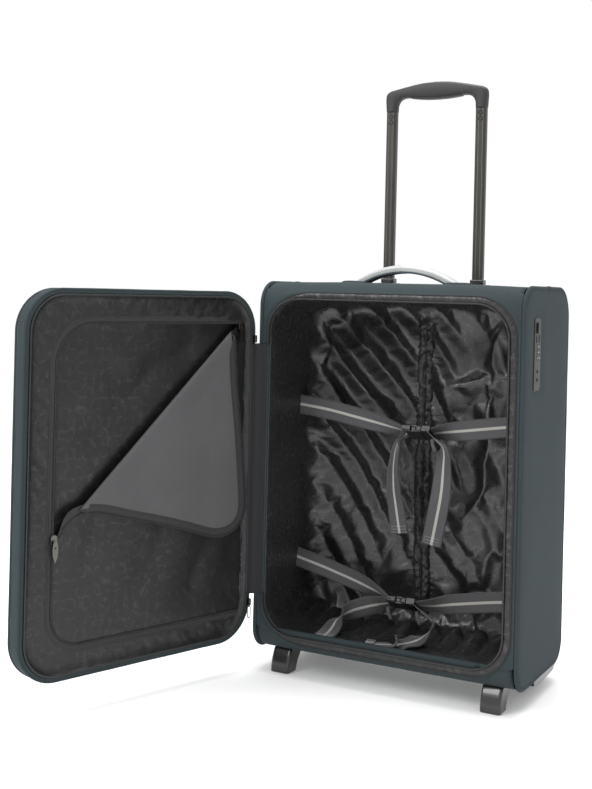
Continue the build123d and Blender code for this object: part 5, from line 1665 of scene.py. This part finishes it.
def build_lid_border():
    """Gathered lining from the zip down to the lid's edge, and the flat border round the pocket."""
    cx, cz, hx, hz, radius = LID_PANEL
    centre = np.array([cx, cz])
    inset, grow = mm(6.6), mm(1.5)
    outer, _, _ = rect_outline(cx, cz, hx - inset, hz - inset, radius - inset, mm(1.5))
    corners = [(x + grow * np.sign(x), z + grow * np.sign(z - mm(200))) for x, z in WINDOW_CORNERS]
    inner, _, _ = rounded_outline(corners, [mm(6), mm(41.5), mm(51.5), mm(6)], mm(1.5))
    angles = np.linspace(-math.pi, math.pi, 1100, endpoint=False)
    ray = np.stack([np.cos(angles), np.sin(angles)], 1)
    far, near = (radius_at(loop, centre, angles)[:, None] * ray for loop in (outer, inner))
    near = near * np.minimum(1, np.linalg.norm(far, axis=1) / (np.linalg.norm(near, axis=1) + mm(2)))[:, None]
    gap = np.linalg.norm(far - near, axis=1)
    rows = []
    for t in np.concatenate([[0, 0.02, 0.05], np.linspace(0.1, 1, 15)]):
        flat = far * (1 - t) + near * t + centre
        rolled = np.exp(-t * gap / mm(4.2))
        fade = math.sin(math.pi * min(1, t * 1.02)) ** 0.5
        y = POCKET_Y + mm(0.5) + (LID_BACK_Y - mm(0.9) - POCKET_Y) * rolled
        y = y + (mm(0.9) * bumps(flat, 95, 3) + mm(1.1) * bumps(flat, 26, 2)) * fade
        rows.append(depth_path(flat, np.minimum(y, LID_BACK_Y - mm(0.4))))
    verts = np.concatenate(rows)
    faces = grid_faces(len(rows), len(angles), False, True)
    lid_piece("lid_border", verts, faces, "lid_lining", ["lid_lining"], verts[:, [0, 2]], "lining", 1)


def build_pocket_back():
    """Slack lining at the back of the inner pocket, seen where the flap is folded away."""
    low, high = WINDOW_LOW, WINDOW_HIGH
    flat, faces, inside = patch(((low[0] - mm(7), low[1] - mm(10)), (high[0] + mm(10), high[1] + mm(10))),
                                [mm(10), mm(40), mm(50), mm(10)], mm(3.5))
    deep = LID_FRONT_Y + mm(7.1)
    wall = np.exp(-inside / mm(7))
    folds = ridge((flat[:, 0] * 0.75 + flat[:, 1]) / mm(95) + 0.8 * bumps(flat, 7, 2), 1.2)
    y = deep + mm(2.4) * folds * smooth_step(inside, mm(5), mm(60)) + mm(0.9) * bumps(flat, 30, 3)
    y = np.minimum(y + (POCKET_Y - mm(1.2) - deep) * wall, POCKET_Y - mm(0.7))
    lid_piece("lid_pocket_back", depth_path(flat, y), faces, "lid_lining", (), flat, "lining", 1)


def build_pocket_zip():
    """Tape, teeth and stitches of the inner pocket's zip, round three sides of it."""
    near, past = WINDOW_LOW[0], WINDOW_LOW[0] - mm(40)
    corners = [(past, WINDOW_LOW[1]), (WINDOW_HIGH[0], WINDOW_LOW[1]), WINDOW_HIGH, (past, WINDOW_HIGH[1])]
    loop, normals, _ = rounded_outline(corners, [mm(2), mm(40), mm(50), mm(2)], mm(1.6))
    run = open_run(loop[:, 0] > near)
    loop, normals = loop[run], normals[run]
    rows, uvs = [], []
    s = arc_lengths(loop)
    for grow, lift in ((-0.8, 0.7), (0.6, 0.9), (4.0, 0.9), (8.4, 0.7), (9.2, 0.1)):
        points = loop + normals * mm(grow)
        rows.append(depth_path(points, POCKET_Y + mm(lift) + mm(0.35) * bumps(points, 22, 2)))
        uvs.append(np.stack([s, np.full_like(s, mm(grow + 0.8))], 1))
    lid_piece("pocket_tape", np.concatenate(rows), grid_faces(len(rows), len(loop)), "tape_grey",
              ["pocket_zip"], np.concatenate(uvs), "zip_tape", 1)
    path = depth_path(loop + normals * mm(0.2), POCKET_Y + mm(1.1))
    chain = zip_chain(path, (0, 1, 0), mm(3.4), mm(1.9), mm(1.0))
    lid_joined("pocket_teeth", [chain], "teeth", slot="zip_tape")
    seams = [stitches(depth_path(loop + normals * mm(g), POCKET_Y + mm(1.05)), (0, 1, 0), pitch=mm(3.2),
                      length=mm(2.3), radius=mm(0.25)) for g in (5.6, 8.2)]
    lid_joined("pocket_stitches", seams, "dark_thread")


def across_fold(points):
    """Distance of points below the flap's fold line and along it, and the direction down from it."""
    along = (FOLD_LOW - FOLD_TOP) / np.linalg.norm(FOLD_LOW - FOLD_TOP)
    down = np.array([along[1], -along[0]])
    return (points - FOLD_TOP) @ down, (points - FOLD_TOP) @ along, down


def build_pocket_panel():
    """Pocket front that is still zipped, ending in the roll of the fold."""
    low, high = WINDOW_LOW, WINDOW_HIGH
    flat, faces, inside = patch(((low[0] - mm(4), low[1] + mm(0.4)), (high[0] - mm(0.4), high[1])),
                                [mm(4), mm(39.5), mm(49), mm(4)], mm(3.2))
    below, _, down = across_fold(flat)
    keep = below > -mm(1.6)
    faces = kept_faces(faces, keep)
    flat, inside, below = flat[keep], inside[keep], below[keep]
    edge = below < mm(1.8)
    flat[edge] -= down * below[edge][:, None]
    slack = smooth_step(inside, 0, mm(50))
    diagonal = ridge((flat[:, 0] + 0.9 * flat[:, 1]) / mm(120) + 0.9 * bumps(flat, 6, 2), 1.3)
    y = POCKET_Y + mm(0.3) + (mm(1.5) * bumps(flat, 11, 2) + mm(1.4) * diagonal - mm(1.5)) * slack
    y = np.minimum(y + mm(0.35) * bumps(flat, 55, 3), POCKET_Y + mm(1.4))
    panel = lid_piece("pocket_front", depth_path(flat, y), faces, "lid_lining", ["pocket_panel"], flat,
                      "lining", 1)


def flap_edge(t):
    """Free edge of the flap from the top of the fold round the tip to the fold's end, t from 0 to 1."""
    bends = [(-147, 380), (-156, 310), (-162, 255), (-164, 226), (-160, 207), (-148, 194), (-130, 188)]
    bends += [(-108, 189), (-70, 201), (-30, 213), (20, 226), (60, 237), (88, 239), (106, 230)]
    route = np.array([FOLD_TOP, *[(mm(x), mm(z)) for x, z in bends], FOLD_LOW])
    route = spline(np.concatenate([route[:1], route, route[-1:]]), 12)
    s = arc_lengths(route)
    return np.stack([np.interp(t * s[-1], s, route[:, k]) for k in range(2)], -1)


def build_pocket_flap():
    """Unzipped corner of the pocket, folded over so that its pale reverse faces out.
    Gives the piece and the flap's reach below the fold at even steps along it."""
    roll, count = mm(2.6), 90
    share = np.linspace(0, 1, count)
    below, along, down = across_fold(flap_edge(np.linspace(0, 1, 4 * count)))
    length = np.linalg.norm(FOLD_LOW - FOLD_TOP)
    reach = np.interp(share * length, np.maximum.accumulate(along), below)
    start = FOLD_TOP + share[:, None] * (FOLD_LOW - FOLD_TOP)
    rows = np.linspace(0, 1, 76)
    grid, uvs = [], []
    for v in rows:
        w = v * np.maximum(reach, mm(0.5))
        turn = np.clip(w / roll, 0, math.pi)
        flat_part = np.maximum(w - math.pi * roll, 0)
        place = start + (flat_part - roll * np.sin(turn))[:, None] * down
        rise = roll * (1 - np.cos(turn))
        loose = smooth_step(flat_part, 0, mm(30))
        wave = ridge((place[:, 0] * 0.9 - place[:, 1] * 0.25) / mm(88) + 0.7 * bumps(place, 6, 2), 1.4)
        soft = (mm(2.0) * wave + mm(1.0) * bumps(place, 16, 2) + mm(0.3) * bumps(place, 60, 2)) * loose
        y = POCKET_Y + mm(0.8) + rise * (1 - 0.45 * loose) + soft * 0.8
        grid.append(depth_path(place, np.minimum(y, HINGE.y - mm(0.4))))
        uvs.append(np.stack([share * length, w], 1))
    obj = lid_piece("pocket_flap_sheet", np.concatenate(grid), grid_faces(len(rows), count), "flap",
                    ["pocket_flap"], np.concatenate(uvs), "flap_lining", 1)
    merge_close(obj, mm(0.2))
    return obj, reach


def merge_close(obj, distance):
    """Merges points of a mesh that are closer than the distance."""
    work = bmesh.new()
    work.from_mesh(obj.data)
    bmesh.ops.remove_doubles(work, verts=work.verts, dist=distance)
    work.to_mesh(obj.data)
    work.free()


def build_flap_edges(flap):
    """Zip tape and teeth along the flap's free edges."""
    t = np.linspace(0.0, 1.0, 420)
    edge = flap_edge(t)
    inward = np.gradient(edge, axis=0)
    inward /= np.linalg.norm(inward, axis=1)[:, None]
    inward = np.stack([-inward[:, 1], inward[:, 0]], 1)
    matrix = np.array(UNLID)
    coords = np.array([v.co for v in flap.data.vertices]) @ matrix[:3, :3].T + matrix[:3, 3]
    tree = KDTree(len(coords))
    for i, c in enumerate(coords):
        tree.insert((c[0], 0, c[2]), i)
    tree.balance()

    def surface(points, lift):
        found = []
        for x, z in points:
            near = tree.find_n((x, 0, z), 6)
            weight = [1 / (d + 1e-4) for _, _, d in near]
            found.append(sum(coords[i][1] * w for (_, i, _), w in zip(near, weight)) / sum(weight) + lift)
        return np.array(found)

    padded = np.pad(inward, ((6, 6), (0, 0)), "edge")
    smooth = np.array([np.convolve(padded[:, k], np.ones(13) / 13, "valid") for k in range(2)]).T
    smooth /= np.linalg.norm(smooth, axis=1)[:, None]
    rows, uvs = [], []
    s = arc_lengths(edge)
    width = mm(10) * smooth_step(t, 0.0, 0.06) * (1 - smooth_step(t, 0.94, 1.0)) + mm(0.8)
    base = surface(edge + smooth * mm(1.5), mm(0.5))
    for share, lift in ((-0.12, -0.2), (0.0, 0.25), (0.5, 0.35), (1.0, 0.1)):
        points = edge + smooth * (share * width)[:, None]
        y = surface(points, mm(lift)) if share > 0 else base + mm(lift)
        rows.append(depth_path(points, y))
        uvs.append(np.stack([s, share * width + mm(1)], 1))
    tape = lid_piece("flap_tape", np.concatenate(rows), grid_faces(len(rows), len(edge)), "tape_grey", (),
                     np.concatenate(uvs), "zip_tape", 1)
    path = rows[1] + (0, mm(0.4), 0)
    chain = zip_chain(path[8:-8], (0, 1, 0), mm(3.0), mm(1.9), mm(0.9))
    teeth = lid_joined("flap_teeth", [chain], "teeth", slot="zip_tape")
    points = edge + smooth * (0.8 * width)[:, None]
    seam = depth_path(points, surface(points, mm(0.6)))
    sewing = stitches(seam[20:-20], (0, 1, 0), pitch=mm(3.2), length=mm(2.3), radius=mm(0.25))
    return [tape, teeth, lid_joined("flap_stitches", [sewing], "dark_thread")]


def build_outer_pocket():
    """Shallow zipped pocket on the front of the lid."""
    cx, cz, hx, hz, radius = LID_PANEL
    inset = mm(26)
    flat, faces, inside = patch(lid_corners(inset), [radius - inset] * 4, mm(4))
    puff = mm(5.2) * (1 - np.exp(-inside / mm(5)))
    puff += mm(0.9) * bumps(flat, 8, 2) * smooth_step(inside, 0, mm(40))
    lid_piece("outer_pocket_skin", depth_path(flat, LID_FRONT_Y - puff - mm(0.3)), faces, "outer",
              ["outer_pocket"], flat, "outer_fabric", -1)
    loop, normals, _ = rect_outline(cx, cz, hx - inset, hz - inset, radius - inset, mm(2.5))
    bead = sweep_section(depth_path(loop, LID_FRONT_Y - mm(1.6)), circle_section(mm(1.6), 10), closed=True,
                         up=depth_path(normals, 0.0))
    lid_joined("outer_pocket_bead", [bead], "piping", slot="outer_fabric")
    zip_low = mm(331)
    run = open_run(loop[:, 1] > zip_low)
    arc, arc_normals = loop[run], normals[run]
    along = arc_lengths(arc)
    rows, uvs = [], []
    for grow, lift in ((0.6, 1.0), (3.6, 1.45), (7.6, 1.4), (10.4, 0.9), (11, 0.1)):
        rows.append(depth_path(arc + arc_normals * mm(grow), LID_FRONT_Y - mm(lift)))
        uvs.append(np.stack([along, np.full_like(along, mm(grow))], 1))
    lid_piece("outer_zip_tape", np.concatenate(rows), grid_faces(len(rows), len(arc)), "tape",
              ["outer_pocket_zip"], np.concatenate(uvs), "zip_tape", -1)
    path = depth_path(arc + arc_normals * mm(5.7), LID_FRONT_Y - mm(1.5))
    chain = zip_chain(path, (0, -1, 0), mm(4.4), mm(2.0), mm(1.1))
    lid_joined("outer_zip_teeth", [chain], "teeth", slot="zip_tape")
    bpy.ops.mesh.primitive_cube_add(size=1)
    slider = bpy.context.object
    slider.name = "outer_zip_slider"
    slider.data.transform(Matrix.Diagonal((mm(8.5), mm(3.2), mm(11), 1)))
    parked = (cx + hx - mm(20.3), LID_FRONT_Y - mm(3.2), zip_low + mm(5))
    slider.matrix_world = LID @ Matrix.Translation(parked)
    slider.data.materials.append(MAT["pewter"])
    round_edges(slider, mm(1.1), 3, 30)
    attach(slider, "lid")


build_lid_shell()
build_lid_piping()
build_lid_border()
build_pocket_back()
build_pocket_zip()
build_pocket_panel()
FLAP, FLAP_REACH = build_pocket_flap()
FLAP_EDGES = build_flap_edges(FLAP)
build_outer_pocket()


# ---- Small hard details ----------------------------------------------------------------------
def build_digits():
    """Raised digits round the three lock dials."""
    for number in (1, 2, 3):
        low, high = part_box(f"lock_dial_{number}")
        centre = Vector(((low.x + high.x) / 2, (low.y + high.y) / 2, (low.z + high.z) / 2))
        radius = (high.y - low.y) / 2
        parts = []
        for digit in range(10):
            curve = bpy.data.curves.new("digit", "FONT")
            curve.body = str(digit)
            curve.size = mm(4.3)
            curve.extrude = mm(0.12)
            curve.align_x = curve.align_y = "CENTER"
            text = bpy.data.objects.new("digit", curve)
            bpy.context.scene.collection.objects.link(text)
            mesh = text.to_mesh()
            angle = math.radians(36 * (digit - 2 * number))
            out = Vector((math.cos(angle), math.sin(angle), 0))
            across = Vector((-math.sin(angle), math.cos(angle), 0))
            turn = Matrix((across, Vector((0, 0, 1)), out)).transposed()
            place = centre + out * (radius + mm(0.02))
            verts = np.array([turn @ v.co + place for v in mesh.vertices])
            parts.append((verts, [tuple(p.vertices) for p in mesh.polygons], None))
            text.to_mesh_clear()
            bpy.data.objects.remove(text)
            bpy.data.curves.remove(curve)
        joined(f"dial_{number}_digits", parts, "digit", f"dial_{number}", smooth=False)


def ring(centre, radius, thickness, axis):
    """Small ring about an axis."""
    angle = np.linspace(0, 2 * math.pi, 28, endpoint=False)
    side = np.cross(axis, (0.1, 0.2, 0.97))
    side /= np.linalg.norm(side)
    other = np.cross(axis, side)
    path = np.asarray(centre) + radius * (np.cos(angle)[:, None] * side + np.sin(angle)[:, None] * other)
    return sweep_section(path, circle_section(thickness, 8), closed=True, up=axis)


def build_rivet_rings():
    """Near-black rings round the rivets that hold the grip's sleeves: painted shade of the dents the rivets
    sit in.
    """
    low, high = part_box("grip_rivets")
    rivet_radius = mm(2)
    x, y, heights = high.x - rivet_radius, low.y + mm(0.3), (low.z + rivet_radius, high.z - rivet_radius)
    parts = [ring((side * x, y, z), mm(2.7), mm(0.5), (0, -1, 0)) for side in (-1, 1) for z in heights]
    # The rings carry painted shade, not a part's own colour
    joined("rivet_rings", parts, "painted_hole_shade", "upper_stage")


def build_strap_tips():
    """Short doubled ends of webbing below the buckles, with pale melted tips."""
    for name, body, buckle, dx in (
        ("upper_left", "main_body", "upper_buckle_socket", -mm(6)),
        ("upper_right", "upper_clip", "upper_buckle_clip", mm(4)),
        ("lower_left", "main_body", "lower_buckle_socket", -mm(6)),
        ("lower_right", "lower_clip", "lower_buckle_clip", mm(4)),
    ):
        low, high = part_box(buckle)
        x = (low.x if dx < 0 else high.x) + dx * 0.2
        z, y = low.z + mm(5), (low.y + high.y) / 2 - mm(7)
        hang = np.array([(0, 0, 0), (mm(2), -mm(2), -mm(7)), (mm(5.5), -mm(2.5), -mm(14))])
        path = (x, y, z) + hang
        flat = np.array([(-1, -1), (1, -1), (1, 1), (-1, 1)]) * (mm(0.6), mm(2.2))
        verts, faces, uvs = sweep_section(resample(path, mm(1.5)), flat, up=(0, -1, 0))
        off_stripe = (0, mm(6))
        make_object("tip_" + name, verts, faces, "webbing", body, uvs=uvs + off_stripe, smooth=False)
        end = np.array([path[-1], path[-1] + (path[-1] - path[-2]) * 0.28])
        verts, faces, uvs = sweep_section(end, flat * 1.15, up=(0, -1, 0))
        make_object("tip_end_" + name, verts, faces, "binding", body, uvs=uvs, smooth=False)


def collar(centre, inner, outer, thickness):
    """Flat ring facing along X."""
    count = 24
    angle = np.linspace(0, 2 * math.pi, count, endpoint=False)
    rim = np.stack([0 * angle, np.cos(angle), np.sin(angle)], 1)
    loops = [centre + rim * inner, centre + rim * inner + (thickness, 0, 0),
             centre + rim * outer + (thickness, 0, 0), centre + rim * outer]
    return np.concatenate(loops), grid_faces(4, count, True, True), None


def build_lock_details():
    """Near-black rims round the two key holes, painted shade of the holes, and white marks beside the dials.
    """
    y, face = (LOCK_LOW.y + LOCK_HIGH.y) / 2, LOCK_HIGH.x - mm(0.05)
    key_heights = (mm(418), mm(407.5))
    rims = [collar(np.array((face, y, z)), mm(1.2), mm(2.4), mm(0.12)) for z in key_heights]
    # Painted shade round the key holes
    joined("key_hole_rims", rims, "painted_hole_shade", "main_body", smooth=False)
    marks = []
    for number in (1, 2, 3):
        dial_low, dial_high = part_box(f"lock_dial_{number}")
        z = (dial_low.z + dial_high.z) / 2
        corner = np.array((face, dial_high.y + mm(1.2), z - mm(0.35)))
        size = np.array((mm(0.15), mm(2.2), mm(0.7)))
        verts = np.array([corner + size * (i & 1, i >> 1 & 1, i >> 2 & 1) for i in range(8)])
        faces = [(0, 2, 3, 1), (4, 5, 7, 6), (0, 1, 5, 4), (2, 6, 7, 3), (0, 4, 6, 2), (1, 3, 7, 5)]
        marks.append((verts, faces, None))
    joined("dial_marks", marks, "digit", "main_body", smooth=False)


build_digits()
build_rivet_rings()
build_strap_tips()
build_lock_details()


# ---- Studio ----------------------------------------------------------------------------------
def make_studio():
    """Pale floor, white surroundings and three soft lamps."""
    scene = bpy.context.scene
    size, just_below = 14.0, -0.0004
    mesh = bpy.data.meshes.new("floor")
    corners = [(-size, -size, 0), (size, -size, 0), (size, size, 0), (-size, size, 0)]
    mesh.from_pydata(corners, [], [(0, 1, 2, 3)])
    mesh.materials.append(floor_material())
    floor = bpy.data.objects.new("floor", mesh)
    floor.location.z = just_below
    scene.collection.objects.link(floor)

    world = bpy.data.worlds.new("studio")
    world.use_nodes = True
    background = world.node_tree.nodes["Background"]
    background.inputs["Color"].default_value = (1.0, 1.0, 1.0, 1)
    background.inputs["Strength"].default_value = 1.0
    scene.world = world
    scene.view_settings.view_transform = "Standard"

    def softbox(name, place, target, size_x, size_y, watts):
        data = bpy.data.lights.new(name, "AREA")
        data.shape = "RECTANGLE"
        data.size, data.size_y = size_x, size_y
        data.energy = watts
        lamp = bpy.data.objects.new(name, data)
        lamp.location = place
        lamp.rotation_mode = "QUATERNION"
        lamp.rotation_quaternion = (Vector(target) - Vector(place)).to_track_quat("-Z", "Y")
        scene.collection.objects.link(lamp)

    softbox("key", (-1.3, -2.3, 2.3), (0, 0, 0.35), 1.4, 1.4, 54)
    softbox("fill", (2.4, -1.2, 1.5), (0, 0, 0.4), 1.2, 1.8, 3)
    softbox("top", (0.1, 0.3, 2.7), (0, 0, 0.5), 1.8, 1.8, 60)


def place_camera():
    """Camera at the photograph's viewing angle: level, turned to the left and rolled a little."""
    place = (0.628, -1.4945, 0.510)
    yaw, roll = math.radians(28.41), math.radians(1.35)
    focal_pixels, frame_height, horizon_rise = 1205.0, 789.0, 103.4
    sensor = 36.0
    data = bpy.data.cameras.new("camera")
    camera = bpy.data.objects.new("camera", data)
    bpy.context.scene.collection.objects.link(camera)
    bpy.context.scene.camera = camera
    right = Vector((math.cos(yaw), math.sin(yaw), 0))
    ahead = Vector((-math.sin(yaw), math.cos(yaw), 0))
    up = right.cross(ahead)
    rolled_right = right * math.cos(roll) + up * math.sin(roll)
    rolled_up = up * math.cos(roll) - right * math.sin(roll)
    rotation = Matrix((rolled_right, rolled_up, -ahead)).transposed()
    camera.matrix_world = Matrix.Translation(place) @ rotation.to_4x4()
    data.sensor_fit = "AUTO"
    data.sensor_width = sensor
    data.lens = focal_pixels / frame_height * sensor
    data.shift_y = -horizon_rise / frame_height
    data.clip_start, data.clip_end = 0.05, 60.0
    data.dof.use_dof = False


make_studio()
place_camera()
